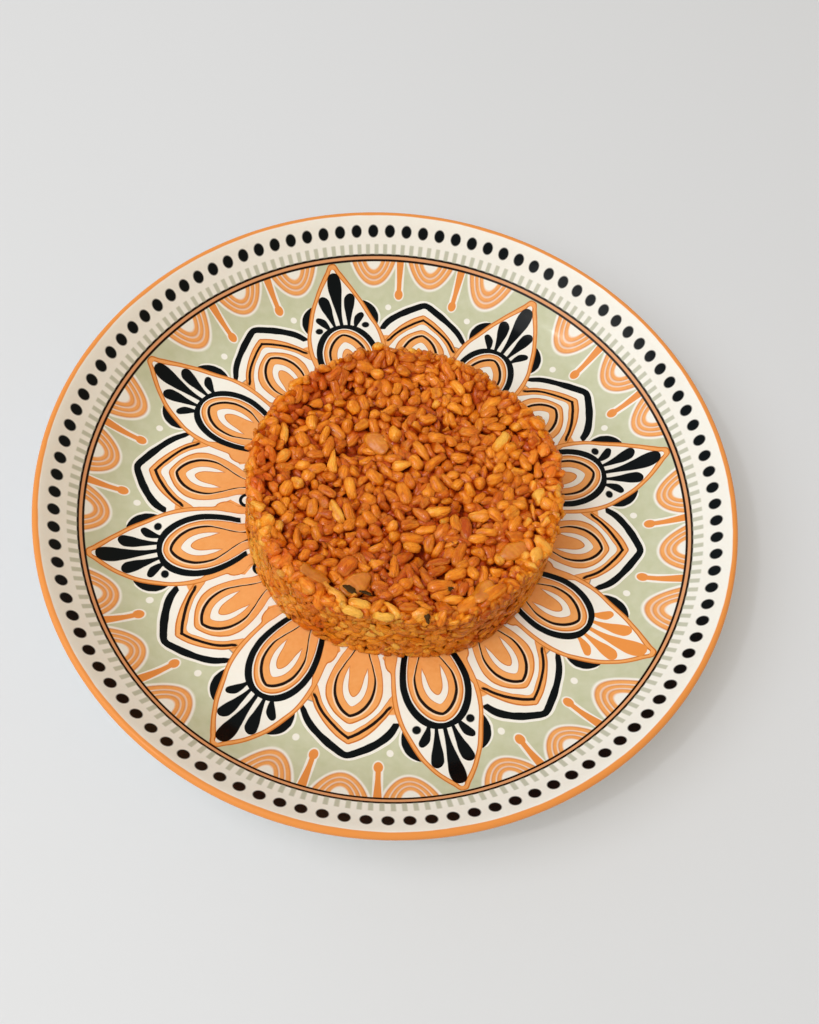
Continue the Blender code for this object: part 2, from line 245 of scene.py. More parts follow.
def add_node(tree, kind, settings, sockets):
    """Adds a node, makes its settings, then fills its sockets with values or links."""
    made = tree.nodes.new(kind)
    for key, setting in settings.items():
        setattr(made, key, setting)
    for key, value in sockets.items():
        if isinstance(value, bpy.types.NodeSocket):
            tree.links.new(value, made.inputs[key])
        else:
            made.inputs[key].default_value = value
    return made


def socket_name(key):
    return key.replace("_", " ").title().replace("Ior", "IOR")


def maths(operation, self_last=False):
    """A method that gives the value's node for one operation."""

    def method(self, *others):
        terms = (*others, self) if self_last else (self, *others)
        return self.finish.node("ShaderNodeMath", {"operation": operation}, dict(enumerate(terms)))

    return method


class Value:
    """A shader socket that takes part in Python expressions."""

    def __init__(self, finish, socket):
        self.finish = finish
        self.socket = socket

    __add__ = __radd__ = maths("ADD")
    __sub__ = maths("SUBTRACT")
    __rsub__ = maths("SUBTRACT", self_last=True)
    __mul__ = __rmul__ = maths("MULTIPLY")
    __truediv__ = maths("DIVIDE")
    __abs__ = maths("ABSOLUTE")
    root = maths("SQRT")
    heading = maths("ARCTAN2")
    folded = maths("PINGPONG")
    least = maths("MINIMUM")
    most = maths("MAXIMUM")
    above = maths("GREATER_THAN")

    def share(self):
        """The value kept between 0 and 1."""
        return self.finish.node("ShaderNodeClamp", {}, {"Value": self})


class Finish:
    """A material with a Principled shader, built from short calls. Fixed colours are given as their codes."""

    def __init__(self, name, **constants):
        self.material = bpy.data.materials.new(name)
        self.material.use_nodes = True
        self.tree = self.material.node_tree
        self.shader = self.tree.nodes["Principled BSDF"]
        for key, constant in constants.items():
            self.shader.inputs[socket_name(key)].default_value = constant

    def node(self, kind, settings, sockets, output=0):
        sockets = {key: getattr(value, "socket", value) for key, value in sockets.items()}
        return Value(self, add_node(self.tree, kind, settings, sockets).outputs[output])

    def place(self):
        return self.node("ShaderNodeTexCoord", {}, {}, "Object")

    def parts(self, vector):
        first = self.node("ShaderNodeSeparateXYZ", {}, {0: vector})
        return [Value(self, socket) for socket in first.socket.node.outputs]

    def attribute(self, name, output="Fac"):
        return self.node("ShaderNodeAttribute", {"attribute_name": name}, {}, output)

    def noise(self, place, size, detail=2.0, roughness=0.5):
        """Soft noise from 0 to 1 whose patches are about size across."""
        sockets = {"Vector": place, "Scale": 1 / size, "Detail": detail, "Roughness": roughness}
        return self.node("ShaderNodeTexNoise", {}, sockets)

    def ramp(self, factor, *stops):
        """Colours that change with factor, from stops of a position and a colour."""
        made = self.node("ShaderNodeValToRGB", {}, {"Fac": factor})
        colours = made.socket.node.color_ramp.elements
        while len(colours) < len(stops):
            colours.new(1.0)
        for element, (position, code) in zip(colours, stops):
            element.position = position
            element.color = paint(code)
        return made

    def mix(self, factor, first, second):
        """The first colour where factor is 0, the second where it is 1."""
        first, second = (paint(colour) if isinstance(colour, str) else colour for colour in (first, second))
        return self.node("ShaderNodeMix", {"data_type": "RGBA"}, {0: factor, 6: first, 7: second}, 2)

    def curve(self, value, points, straight=2):
        """A smooth curve through points from 0 to 1 both ways, with straight lines at its last few."""
        made = self.node("ShaderNodeFloatCurve", {}, {"Value": value})
        mapping = made.socket.node.mapping
        line = mapping.curves[0].points
        while len(line) < len(points):
            line.new(0.5, 0.5)
        for number, (point, spot) in enumerate(zip(line, points)):
            point.location = spot
            point.handle_type = "VECTOR" if number >= len(points) - straight else "AUTO_CLAMPED"
        mapping.update()
        return made

    def bump(self, height, distance):
        return self.node("ShaderNodeBump", {}, {"Height": height, "Distance": distance, "Strength": 1.0})

    def wear(self, **links):
        """Links what varies to the shader and gives the material."""
        for key, value in links.items():
            self.tree.links.new(value.socket, self.shader.inputs[socket_name(key)])
        return self.material


# Meshes


def mesh_from(name, corners, faces):
    mesh = bpy.data.meshes.new(name)
    mesh.from_pydata([tuple(corner) for corner in corners], [], faces)
    mesh.shade_smooth()
    return mesh


def in_scene(name, data):
    """An object of some data, put in the scene."""
    thing = bpy.data.objects.new(name, data)
    bpy.context.scene.collection.objects.link(thing)
    return thing


def piece_from(name, corners, faces, material):
    mesh = mesh_from(name, corners, faces)
    mesh.materials.append(material)
    mesh.validate()
    return in_scene(name, mesh)


def ring_faces(sides, rings, first=1, flipped=False):
    """Faces between rings of corners, the first of which starts at corner first.

    The corner after the last ring closes it, and corner 0 the first one, unless that starts there.
    """
    last = first + sides * rings
    faces = []
    for k in range(sides):
        nxt = (k + 1) % sides
        if first:
            faces.append((0, first + k, first + nxt))
        for low in range(first, last - sides, sides):
            faces.append((low + k, low + sides + k, low + sides + nxt, low + nxt))
        faces.append((last - sides + k, last, last - sides + nxt))
    return [(start, *reversed(others)) for start, *others in faces] if flipped else faces


def rows_of(data, key):
    """Three numbers for each corner: where it is, or what it is marked with."""
    rows = np.zeros(len(data) * 3, np.float32)
    data.foreach_get(key, rows)
    return rows.reshape(-1, 3)


def mark(mesh, key, values, kind="FLOAT"):
    """Gives each corner of a mesh a mark that nodes and materials can read."""
    values = np.asarray(values, np.int32 if kind == "INT" else np.float32)
    number = "vector" if kind == "FLOAT_VECTOR" else "value"
    mesh.attributes.new(key, kind, "POINT").data.foreach_set(number, values.ravel())


def applied(thing):
    """The object with its modifiers made part of a plain mesh."""
    graph = bpy.context.evaluated_depsgraph_get()
    graph.update()
    mesh = bpy.data.meshes.new_from_object(thing.evaluated_get(graph), depsgraph=graph)
    thing.modifiers.clear()
    thing.data = mesh
    return thing


# Plate


def rim_curve_radius():
    bend_end = WELL_RADIUS + BEND_RADIUS * math.sin(BEND_ANGLE)
    lip_start = PLATE_RADIUS - LIP_RADIUS - LIP_RADIUS * math.sin(LIP_ANGLE)
    return (lip_start - bend_end) / (math.sin(LIP_ANGLE) - math.sin(BEND_ANGLE))


def plate_top_point(angle):
    """Point (r, z) of the plate's upper face where it slopes by angle."""
    bend = min(angle, BEND_ANGLE)
    r = WELL_RADIUS + BEND_RADIUS * math.sin(bend)
    z = WELL_HEIGHT + BEND_RADIUS * (1 - math.cos(bend))
    if angle > BEND_ANGLE:
        rim = rim_curve_radius()
        r += rim * (math.sin(angle) - math.sin(BEND_ANGLE))
        z += rim * (math.cos(BEND_ANGLE) - math.cos(angle))
    return r, z


def plate_under_point(angle):
    wall = WELL_WALL + (2 * LIP_RADIUS - WELL_WALL) * angle / LIP_ANGLE
    r, z = plate_top_point(angle)
    return r + wall * math.sin(angle), z - wall * math.cos(angle)


def spread(first, last, count):
    """Evenly spaced values, both ends included."""
    return [first + (last - first) * k / (count - 1) for k in range(count)]


def plate_section():
    """The plate's section from the middle of its well, over the lip, to the middle of its underside."""
    slopes = spread(0, BEND_ANGLE, 13) + spread(BEND_ANGLE, LIP_ANGLE, 9)[1:]
    points = [(WELL_RADIUS * k / 3, WELL_HEIGHT) for k in range(3)]
    points += [plate_top_point(angle) for angle in slopes]
    top_r, top_z = plate_top_point(LIP_ANGLE)
    lip_r = top_r + LIP_RADIUS * math.sin(LIP_ANGLE)
    lip_z = top_z - LIP_RADIUS * math.cos(LIP_ANGLE)
    for turn in spread(LIP_ANGLE + math.pi / 2, LIP_ANGLE - math.pi / 2, 9)[1:-1]:
        points.append((lip_r + LIP_RADIUS * math.cos(turn), lip_z + LIP_RADIUS * math.sin(turn)))
    points += [plate_under_point(angle) for angle in reversed(slopes)]
    under = WELL_HEIGHT - WELL_WALL
    points += [(FOOT_RADIUS - FOOT_WIDTH * across, under * up) for across, up in FOOT_SECTION]
    return points + [(FOOT_RADIUS / 2, under), (0.0, under)]


def turned(name, section, sides, material):
    """A section that starts and ends on the axis, turned about it."""
    turns = [2 * math.pi * k / sides for k in range(sides)]
    rings = [(r * math.cos(turn), r * math.sin(turn), z) for r, z in section[1:-1] for turn in turns]
    corners = [(0.0, 0.0, section[0][1]), *rings, (0.0, 0.0, section[-1][1])]
    return piece_from(name, corners, ring_faces(sides, len(section) - 2), material)


# The painted ornament. Radii are in millimetres from the plate's middle and half angles in degrees from a
# petal's axis; a border is a short list of (radius, half angle), from its outer tip inwards.
FIRST_PETAL = 19.7
PETALS_APART = 45.0
LINES_IN = 114.0
LINES_OUT = 116.4
ORNAMENT_IN = 52.0
WIDEST = 16.0
EDGE_SOFTNESS = 0.22
RING_OF_DOTS = 123.2
DOTS = 109
DOTS_TURN = 358.3
COMB_TEETH = 197
COMB_TURN = 358.8
COMB_FROM, COMB_TO = 116.3, 119.4
LIP_PAINT = 127.6

# Where parts of the ornament end towards the middle, and over how many millimetres they do.
HALO_END = (84.0, 1.0)
FIELD_END = (82.5, 0.5)
LINE_END = (79.2, 0.6)
ARMS_END = (65.8, 0.8)
RING_END = (57.4, 0.4)
GAPS_FROM = 62.0
CURL_RADIUS = 55.4
CURL_ANGLE = 7.3
CURL_LINE = (1.7, 3.0)

# Colours of the glaze and of the paint.
IVORY, IVORY_WORN = "F3F4EE", "E9DEC9"
ORANGE, ORANGE_WORN = "F3B06C", "E99A50"
DEEP_ORANGE = "CB7830"
RIM_ORANGE = "E6934A"
STROKE_ORANGE = "E9964A"
RING_ORANGE = "DFA070"
PEACH = "F6D6B4"
NAVY = "03090C"
SAGE = "BDC39E"
COMB_SAGE = "B4B8A2"
UMBER = "1C0E08"

PETAL_EDGE = (
    (114.0, 0.6), (111.0, 1.9), (104.8, 4.6), (98.6, 6.9), (94.5, 8.1), (92.4, 8.7), (86.2, 10.5),
    (80.0, 11.7), (74.0, 12.2), (68.0, 12.4), (66.6, 13.4), (64.8, 14.2), (62.8, 14.5), (60.8, 14.0),
    (58.0, 12.8),
)
PETAL_FIELD = (
    (112.2, 0.0), (109.5, 1.2), (104.8, 3.4), (98.6, 5.7), (92.4, 7.5), (86.2, 9.3), (80.0, 10.3),
    (74.0, 10.8), (68.0, 10.9), (62.0, 10.1), (56.0, 9.2),
)
EYE_RING = (
    (89.7, 0.0), (89.3, 2.4), (88.1, 4.2), (85.0, 6.5), (80.1, 8.5), (76.4, 9.4), (71.5, 9.95), (66.5, 9.7),
    (62.0, 9.0), (57.0, 7.9),
)
EYE_FIELD = (
    (87.7, 0.0), (87.3, 1.7), (86.2, 3.1), (84.0, 4.7), (80.1, 6.5), (76.4, 7.5), (71.5, 8.0), (66.5, 7.7),
    (62.0, 6.9), (57.0, 5.8),
)
EYE_LINE = (
    (85.0, 0.0), (84.6, 1.1), (83.0, 2.7), (80.1, 4.4), (76.4, 5.6), (71.5, 6.0), (66.5, 5.0), (62.0, 3.4),
    (57.0, 2.0),
)
EYE_DROP = (
    (80.7, 0.0), (79.9, 1.1), (77.5, 2.5), (75.0, 3.2), (72.0, 3.5), (69.0, 3.35), (66.4, 2.9), (52.0, 0.0),
)
EYE_HEART = (
    (77.3, 0.0), (76.6, 0.9), (74.5, 1.75), (72.0, 2.15), (69.5, 2.4), (66.4, 2.9), (52.0, 0.0),
)
LEAF_EDGE = (
    (100.3, 0.0), (99.8, 1.3), (98.6, 2.7), (96.9, 4.7), (94.4, 7.0), (92.4, 8.9), (90.3, 10.4),
    (88.3, 11.4), (86.2, 12.2), (82.8, 12.6),
)
LEAF_FIELD = (
    (97.8, 0.0), (96.9, 1.2), (94.4, 3.8), (92.4, 6.0), (90.3, 7.8), (88.3, 9.3), (86.2, 10.5),
    (82.8, 12.0),
)
LEAF_BAND = (
    (94.8, 0.0), (94.2, 1.0), (92.4, 3.0), (90.3, 4.8), (88.3, 6.3), (86.2, 7.7), (83.8, 9.2), (81.5, 10.3),
    (79.0, 11.2),
)
LEAF_LINE = (
    (93.0, 0.0), (92.4, 0.7), (90.3, 2.9), (88.3, 4.7), (86.2, 6.5), (83.8, 8.2), (81.5, 9.5), (79.0, 10.6),
)
LEAF_RIB = (
    (90.2, 0.0), (88.3, 2.2), (86.2, 4.2), (83.8, 6.0), (81.5, 7.5), (79.0, 8.7), (76.8, 9.8), (74.8, 10.6),
    (68.0, 10.6), (66.2, 9.8), (64.0, 8.6), (58.0, 6.6),
)
LEAF_SOUL = (
    (87.3, 0.0), (86.4, 1.7), (83.8, 4.4), (81.5, 6.0), (78.0, 7.5), (73.9, 8.1), (69.0, 7.8), (64.0, 6.8),
    (57.0, 5.0),
)
LEAF_EYE = (
    (84.8, 0.0), (84.4, 1.0), (82.8, 2.7), (80.0, 4.4), (76.4, 5.6), (72.0, 6.05), (66.5, 5.0), (62.0, 3.4),
    (57.0, 2.0),
)
CENTRE_STROKE = (
    (111.1, 0.0), (110.6, 0.9), (108.5, 1.5), (106.2, 1.6), (102.0, 1.3), (96.0, 0.75), (88.0, 0.5),
)
NEXT_STROKE = (
    (103.4, 0.0), (102.9, 0.8), (101.0, 1.35), (98.5, 1.3), (95.0, 0.9), (88.0, 0.4),
)
OUTER_STROKE = (
    (95.0, 0.0), (94.5, 0.75), (93.0, 1.25), (91.5, 1.1), (88.0, 0.5),
)

# Dark crescents beside the petals: places along them, and half widths there without and with a pale halo.
CRESCENT_FROM = 87.0
CRESCENT_LENGTH = 14.0
CRESCENT_SPOTS = (0.0, 0.25, 0.43, 0.57, 0.71, 0.86, 0.97, 1.0)
CRESCENT = (0.58, 0.63, 0.635, 0.615, 0.58, 0.50, 0.39, 0.0)
CRESCENT_HALO = (0.61, 0.66, 0.67, 0.65, 0.615, 0.54, 0.45, 0.0)

# Between the petals: arches by angle and share of full height, the half angle and drop of the stripes that
# each is made of, sticks by angle and the radius of their foot, and the angles of the pale dots.
ARCHES = ((8.8, 0.82), (21.1, 0.83), (34.4, 1.0))
WHITE_STRIPES = ((5.3, 10.9), (3.75, 7.7), (2.7, 5.5), (1.6, 3.2))
ORANGE_STRIPES = ((4.75, 9.8, 4.55, 9.45), (3.55, 7.3, 3.4, 7.0), (2.5, 5.1, 2.35, 4.8))
STICKS = ((14.6, 100.2), (27.7, 98.9))
PALE_DOTS = (12.2, 32.4)


def painted_plate():
    """Ivory glaze with orange, navy and sage under it: petals and leaves round the well, dots on the rim."""
    finish = Finish("painted glaze", specular_ior_level=0.12)
    place = finish.place()
    x, y, _ = finish.parts(place)
    lean = finish.noise(place, 0.041, 1.0) - 0.5
    radius = (x * x + y * y).root() / MM
    round_radius = radius + (finish.noise(place, 0.030, 1.0) - 0.5) * 1.6
    true_angle = y.heading(x) * (180 / math.pi)
    angle = true_angle + lean * 0.7 + x / MM / radius * 0.6

    def turn_from(axis, half_period):
        """Angle from the nearest of the axes that lie two half periods apart."""
        return (angle - axis + 360).folded(half_period)

    def arc(degrees):
        """How long an angle is at this radius, in millimetres."""
        return degrees * radius * (math.pi / 180)

    def past(start, over=1.0, value=round_radius):
        """0 up to a start, by default of the radius, and from there up to 1 over some millimetres."""
        return ((value - start) / over).share()

    def step(value, soft=EDGE_SOFTNESS):
        """0 below zero and 1 above it, with a soft edge."""
        return (value / soft + 0.5).share()

    def between(value, low, high, soft=EDGE_SOFTNESS):
        return step(value - low, soft) * step(high - value, soft)

    def spot(across, down, sharpness):
        """1 inside a round spot, with across and down in its own half widths, 0 outside."""
        return ((1 - across * across - down * down) * sharpness + 0.5).share()

    def border(points, inset=0.0, deeper=0.0):
        """Half angle of a border at this radius, less an inset, with its tip moved in by deeper.

        The curve holds the half angle's square, so that a round tip comes out round.
        """
        span = LINES_IN - ORNAMENT_IN
        spots = [(0.0, points[-1][1])] + [(far - ORNAMENT_IN, half) for far, half in reversed(points)]
        spots.append((span, points[0][1]))
        scaled = [(min(far / span, 1.0), (half / WIDEST) ** 2) for far, half in spots]
        moved = round_radius + deeper
        square = finish.curve(((moved - ORNAMENT_IN) / span).share(), scaled)
        return square.root() * WIDEST - past(points[0][0], 0.2, moved) - inset

    def within(half_angle, away, edge=0.0):
        """1 inside the border and more than edge millimetres off it, 0 outside, with a soft edge."""
        return step(arc(half_angle - away) - edge)

    def filled(colour, points, away, fill, inset=0.0, deeper=0.0, edge=0.0, gate=None):
        """What is painted so far, with a fill inside a border where the gate is open."""
        share = within(border(points, inset, deeper), away, edge)
        return finish.mix(share if gate is None else share * gate, colour, fill)

    def outlined(colour, points, away, fill, edge_colour, edge):
        """A field of one colour inside a border, with a narrow edge of another."""
        colour = filled(colour, points, away, edge_colour)
        return filled(colour, points, away, fill, deeper=edge * 0.8, edge=edge * 0.8)

    brush = finish.noise(place, 0.0015, 3.0) * finish.noise(place, 0.011)
    ivory = finish.mix(brush * 0.5, IVORY, IVORY_WORN)
    orange = finish.mix((brush * 1.6).share(), ORANGE, ORANGE_WORN)

    # Angles: from the nearest round petal, and from the leaf's axis, which leans away from the first petals.
    half_way = PETALS_APART / 2
    from_first = turn_from(FIRST_PETAL, PETALS_APART)
    from_petal = turn_from(FIRST_PETAL, half_way)
    second = from_first.above(half_way)
    from_eye = turn_from(FIRST_PETAL + 0.45, half_way) * (0.97 + second * 0.06)
    leaf_axis = 22.6 - (round_radius - 85).most(0.0).least(10.0) * 0.08
    from_leaf = abs(from_first - leaf_axis)
    towards_second = (from_first - leaf_axis).above(0.0)

    # Sage ground with pale dots, arches that hang from the ring, and drumstick lines between them.
    colour = finish.mix(finish.noise(place, 0.004, 3.0) * 0.35, SAGE, ivory)
    colour = finish.mix(step(80.5 - round_radius, 1.0), colour, orange)
    from_arch = turn_from(FIRST_PETAL - 0.5, PETALS_APART)
    stripes = [(half, drop, ivory) for half, drop in WHITE_STRIPES]
    for half, drop, inner_half, inner_drop in ORANGE_STRIPES:
        stripes += [(half, drop, DEEP_ORANGE), (inner_half, inner_drop, orange)]
    for arch, tall in ARCHES:
        away = abs(from_arch - arch)
        for half, drop, fill in sorted(stripes, key=lambda stripe: -stripe[0]):
            rise = (LINES_IN - round_radius) / (drop * tall)
            arch_share = (away / half) * (away / half) + rise * 0.7 + rise * rise * 0.3
            colour = finish.mix(((1 - arch_share) * (half * 1.7) + 0.5).share(), colour, fill)
    for stick, foot in STICKS:
        away = abs(from_arch - stick)
        from_foot = round_radius - foot
        down = (from_foot - 2.2) / 2.1
        head = away * away * 1.1 + down * down
        beyond = past(2.0, 0.4, from_foot)
        halo = (within(1.0, away) * beyond).most(((1.9 - head) * 1.6).share())
        colour = finish.mix(halo, colour, ivory)
        girth = 0.52 + past(7.0, 8.0, from_foot) * 0.28
        line = (within(girth, away) * beyond).most(((1 - head) * 3.0 + 0.5).share())
        colour = finish.mix(line, colour, RIM_ORANGE)
    for dot in PALE_DOTS:
        pale = spot(abs(from_arch - dot) / 0.75, (round_radius - 96.8) / 1.35, 2.0)
        colour = finish.mix(pale, colour, ivory)

    # Leaves: nested pointed borders behind the round petals.
    arms = past(*ARMS_END)
    heart_edge = finish.mix(arms, orange, DEEP_ORANGE)

    def eye(colour, line, away):
        """A dark line round orange, with a white drop round an orange heart."""
        colour = filled(colour, line, away, PEACH, -0.32, -0.4)
        colour = outlined(colour, line, away, orange, UMBER, 1.05)
        colour = filled(colour, EYE_DROP, away, DEEP_ORANGE, -0.2, gate=arms)
        colour = filled(colour, EYE_DROP, away, ivory, gate=arms)
        return outlined(colour, EYE_HEART, away, orange, heart_edge, 0.3)

    colour = filled(colour, LEAF_EDGE, from_leaf, ivory, -0.45, -0.7, gate=past(*HALO_END))
    solid_edge = past(85.6 - towards_second * 3.3, 0.3)
    colour = filled(colour, LEAF_EDGE, from_leaf, NAVY, gate=solid_edge)
    below = finish.mix(past(82.6), orange, ivory)
    colour = filled(colour, LEAF_EDGE, from_leaf, below, gate=1 - solid_edge)
    colour = filled(colour, LEAF_FIELD, from_leaf, ivory, gate=past(*FIELD_END))
    colour = outlined(colour, LEAF_BAND, from_leaf, orange, DEEP_ORANGE, 0.5)
    inside_line = within(border(LEAF_LINE, 0.0, 0.8075), from_leaf, 0.76)
    line = within(border(LEAF_LINE), from_leaf) * (1 - inside_line)
    colour = finish.mix(line * past(*LINE_END), colour, UMBER)
    colour = filled(colour, LEAF_RIB, from_leaf, DEEP_ORANGE, -0.22)
    colour = filled(colour, LEAF_RIB, from_leaf, ivory)
    colour = outlined(colour, LEAF_SOUL, from_leaf, orange, DEEP_ORANGE, 0.5)
    colour = eye(colour, LEAF_EYE, from_leaf)

    # Dark crescents beside the round petals, then the petals: an orange edge round a white field.
    shown = between(round_radius, 87.6, 100.2)
    off_petal = 1 - within(border(PETAL_EDGE, 0.6), from_petal)
    for halves, fill in ((CRESCENT_HALO, ivory), (CRESCENT, NAVY)):
        half = finish.curve(past(CRESCENT_FROM, CRESCENT_LENGTH), tuple(zip(CRESCENT_SPOTS, halves))) * WIDEST
        colour = finish.mix(within(half, from_petal) * shown * off_petal, colour, fill)
    colour = outlined(colour, PETAL_EDGE, from_petal, orange, DEEP_ORANGE, 0.45)
    right_side = 1 - turn_from(FIRST_PETAL + 11.25, half_way).above(11.25)
    field = border(PETAL_FIELD) - right_side * ((77.0 - round_radius) / 4.0).share() * 1.2
    colour = finish.mix(within(field + 0.3, from_petal), colour, DEEP_ORANGE)
    colour = finish.mix(within(field, from_petal), colour, ivory)

    # The fan of strokes over the petal's eye, and the eye itself; one petal has its strokes in orange.
    one_petal = between(angle, FIRST_PETAL - 1.5 * PETALS_APART, FIRST_PETAL - half_way)
    stroke_colour = finish.mix(one_petal, NAVY, STROKE_ORANGE)
    colour = filled(colour, CENTRE_STROKE, from_petal, stroke_colour)
    for stroke, start, slant, aside in ((NEXT_STROKE, 89.5, 0.100, 2.0), (OUTER_STROKE, 89.0, 0.30, 3.9)):
        axis = (round_radius - start) * slant + aside
        colour = filled(colour, stroke, abs(from_petal - axis), stroke_colour)
    bead = spot((from_petal - 6.5) / 1.05, (round_radius - 88.6) / 1.5, 2.0)
    colour = finish.mix(bead * (1 - second), colour, NAVY)
    colour = filled(colour, EYE_RING, from_eye, NAVY, gate=past(*RING_END))
    for inwards, fill in ((0.0, ivory), (0.35, DEEP_ORANGE), (0.8, orange)):
        colour = filled(colour, EYE_FIELD, from_eye, fill, deeper=inwards, edge=inwards)
    colour = eye(colour, EYE_LINE, from_eye)

    # White gaps and dark curls near the middle.
    curl_x = arc(from_leaf - CURL_ANGLE)
    curl_y = radius - CURL_RADIUS
    gap = ((GAPS_FROM - radius) * 0.5 - abs(curl_x)).least(GAPS_FROM - radius)
    colour = finish.mix((gap / EDGE_SOFTNESS).share(), colour, ivory)
    curl = (curl_x * curl_x + curl_y * curl_y).root()
    colour = finish.mix(between(curl, *CURL_LINE), colour, NAVY)

    # The ring: an orange band between two dark lines. Outside it the rim is ivory, with a comb and dots.
    ring = finish.mix(between(radius, LINES_IN + 0.75, LINES_OUT - 0.75), UMBER, RING_ORANGE)
    rim = finish.mix(step(radius - LINES_OUT), ring, ivory)
    comb = (true_angle + lean * 0.5 + COMB_TURN).folded(180 / COMB_TEETH)
    tooth = step(0.42 - comb, 0.25) * between(radius, COMB_FROM, COMB_TO, 0.4)
    rim = finish.mix(tooth * 0.8, rim, COMB_SAGE)
    dot_turn = (true_angle + y / MM / radius * 0.22 + DOTS_TURN).folded(180 / DOTS)
    rim = finish.mix(spot(dot_turn / 1.01, (radius - RING_OF_DOTS) / 1.85, 2.4), rim, NAVY)
    colour = finish.mix(step(radius - LINES_IN), colour, rim)
    lip_wander = finish.noise(place, 0.012) * 0.5
    colour = finish.mix(step(radius + lip_wander - LIP_PAINT - 0.25, 0.3), colour, RIM_ORANGE)

    # The underside is plain ivory glaze: what is painted lies on faces that look up, and on the lip.
    facing = finish.parts(finish.node("ShaderNodeNewGeometry", {}, {}, "Normal"))[2]
    underside = (facing / -0.1).share() * ((LIP_PAINT + 1.0 - radius) / 0.3).share()
    colour = finish.mix(underside, colour, ivory)
    ripple = finish.noise(place, 0.006)
    return finish.wear(base_color=colour, roughness=0.13 + ripple * 0.08, normal=finish.bump(ripple, 0.00006))


# Cake


def side_swell(azimuth, share):
    """How far the side stands out at an azimuth, at a share of the cake's height."""
    out = 0.0
    for middle, half_width, low, high in SIDE_SWELLS:
        away = (np.degrees(azimuth) - middle + 180) % 360 - 180
        out = out + (low + (high - low) * share) * np.exp(-((away / half_width) ** 2))
    return out


def side_radius(azimuth, share):
    return BASE_RADIUS + (TOP_RADIUS - BASE_RADIUS) * share + side_swell(azimuth, share)


def top_height(azimuth, radius):
    """Height of the cake's top above its base: a rim round a shallow, uneven recess."""
    inside = side_radius(azimuth, 1.0) - radius
    slope = RIM_SLOPE + SLOPE_SWING * np.cos(azimuth - SLOPE_WIDEST)
    share = np.clip((inside - EDGE_ROUND) / slope, 0, 1)
    depth = RECESS + RECESS_SWING * np.cos(azimuth - RECESS_DEEPEST)
    height = CAKE_HEIGHT - depth * share * share * (3 - 2 * share)
    x = radius * np.cos(azimuth)
    y = radius * np.sin(azimuth)
    for mound_x, mound_y, size, rise in TOP_MOUNDS:
        height = height + rise * np.exp(-((x - mound_x) ** 2 + (y - mound_y) ** 2) / size**2)
    return height


def skin(azimuth, way):
    """Points of the cake's outline: way 0 to 1 is up the side, to 2 over the edge and to 3 to the middle."""
    wall_top = CAKE_HEIGHT - EDGE_ROUND
    wall = np.clip(way, 0, 1) * wall_top
    bend = np.clip(way - 1, 0, 1) * math.pi / 2
    inwards = np.clip(way - 2, 0, 1)
    side = side_radius(azimuth, wall / CAKE_HEIGHT)
    edge = side_radius(azimuth, wall_top / CAKE_HEIGHT) - EDGE_ROUND
    radius = np.where(way <= 2, side - EDGE_ROUND * (1 - np.cos(bend)), edge * (1 - inwards))
    rounded = wall + (top_height(azimuth, edge) - wall_top) * np.sin(bend)
    height = np.where(way <= 2, rounded, top_height(azimuth, radius))
    return np.stack([radius * np.cos(azimuth), radius * np.sin(azimuth), height], axis=-1)


def skin_normal(azimuth, way):
    """Outward normals of the outline."""
    step = 0.01
    wide = skin(azimuth + step, way) - skin(azimuth - step, way)
    onward = skin(azimuth, np.minimum(way + step, 2.98)) - skin(azimuth, np.maximum(way - step, 0))
    normal = np.cross(wide, onward)
    return normal / np.linalg.norm(normal, axis=-1, keepdims=True)


def square_to(normal, direction):
    """Directions turned square to the normals, one unit long."""
    direction = direction - normal * (direction * normal).sum(axis=1, keepdims=True)
    return direction / np.linalg.norm(direction, axis=1, keepdims=True)


WAYS = np.concatenate([np.linspace(0, 1, 27), np.linspace(1, 2, 7)[1:], np.linspace(2, 2.995, 70)[1:]])


def to_skin(points):
    """The azimuth and way of the outline's points nearest to some points."""
    azimuth = np.arctan2(points[:, 1], points[:, 0])
    section = skin(azimuth[:, None], WAYS[None, :])
    away = np.linalg.norm(section - points[:, None, :], axis=-1)
    nearest = away.argmin(axis=1)
    rows = np.arange(len(points))
    before = np.maximum(nearest - 1, 0)
    after = np.minimum(nearest + 1, len(WAYS) - 1)
    line = section[rows, after] - section[rows, before]
    along = ((points - section[rows, before]) * line).sum(axis=1) / (line * line).sum(axis=1)
    along = np.clip(along, 0, 1)
    return azimuth, WAYS[before] + (WAYS[after] - WAYS[before]) * along


def spiral(top_count, side_count):
    """Azimuths and ways of places spread evenly over the cake's top with its edge, and over its side."""
    golden = math.pi * (3 - math.sqrt(5))
    share = (np.arange(top_count) + 0.5) / top_count
    flat = 3 - np.sqrt(share / FLAT_SHARE)
    edge = 2 - (2 - SIDE_TOP) * (share - FLAT_SHARE) / (1 - FLAT_SHARE)
    on_top = np.where(share < FLAT_SHARE, flat, edge)
    on_side = SIDE_TOP * (1 - (np.arange(side_count) + 0.5) / side_count)
    way = np.concatenate([on_top, on_side])
    azimuth = np.arange(len(way)) * golden
    return np.mod(azimuth + math.pi, 2 * math.pi) - math.pi, way


def near_pairs(place):
    """Index pairs of the places that are close enough to touch."""
    away = np.linalg.norm(place[:, None, :] - place[None, :, :], axis=-1)
    first, second = np.nonzero(np.triu(away < PAIR_REACH, 1))
    return first, second


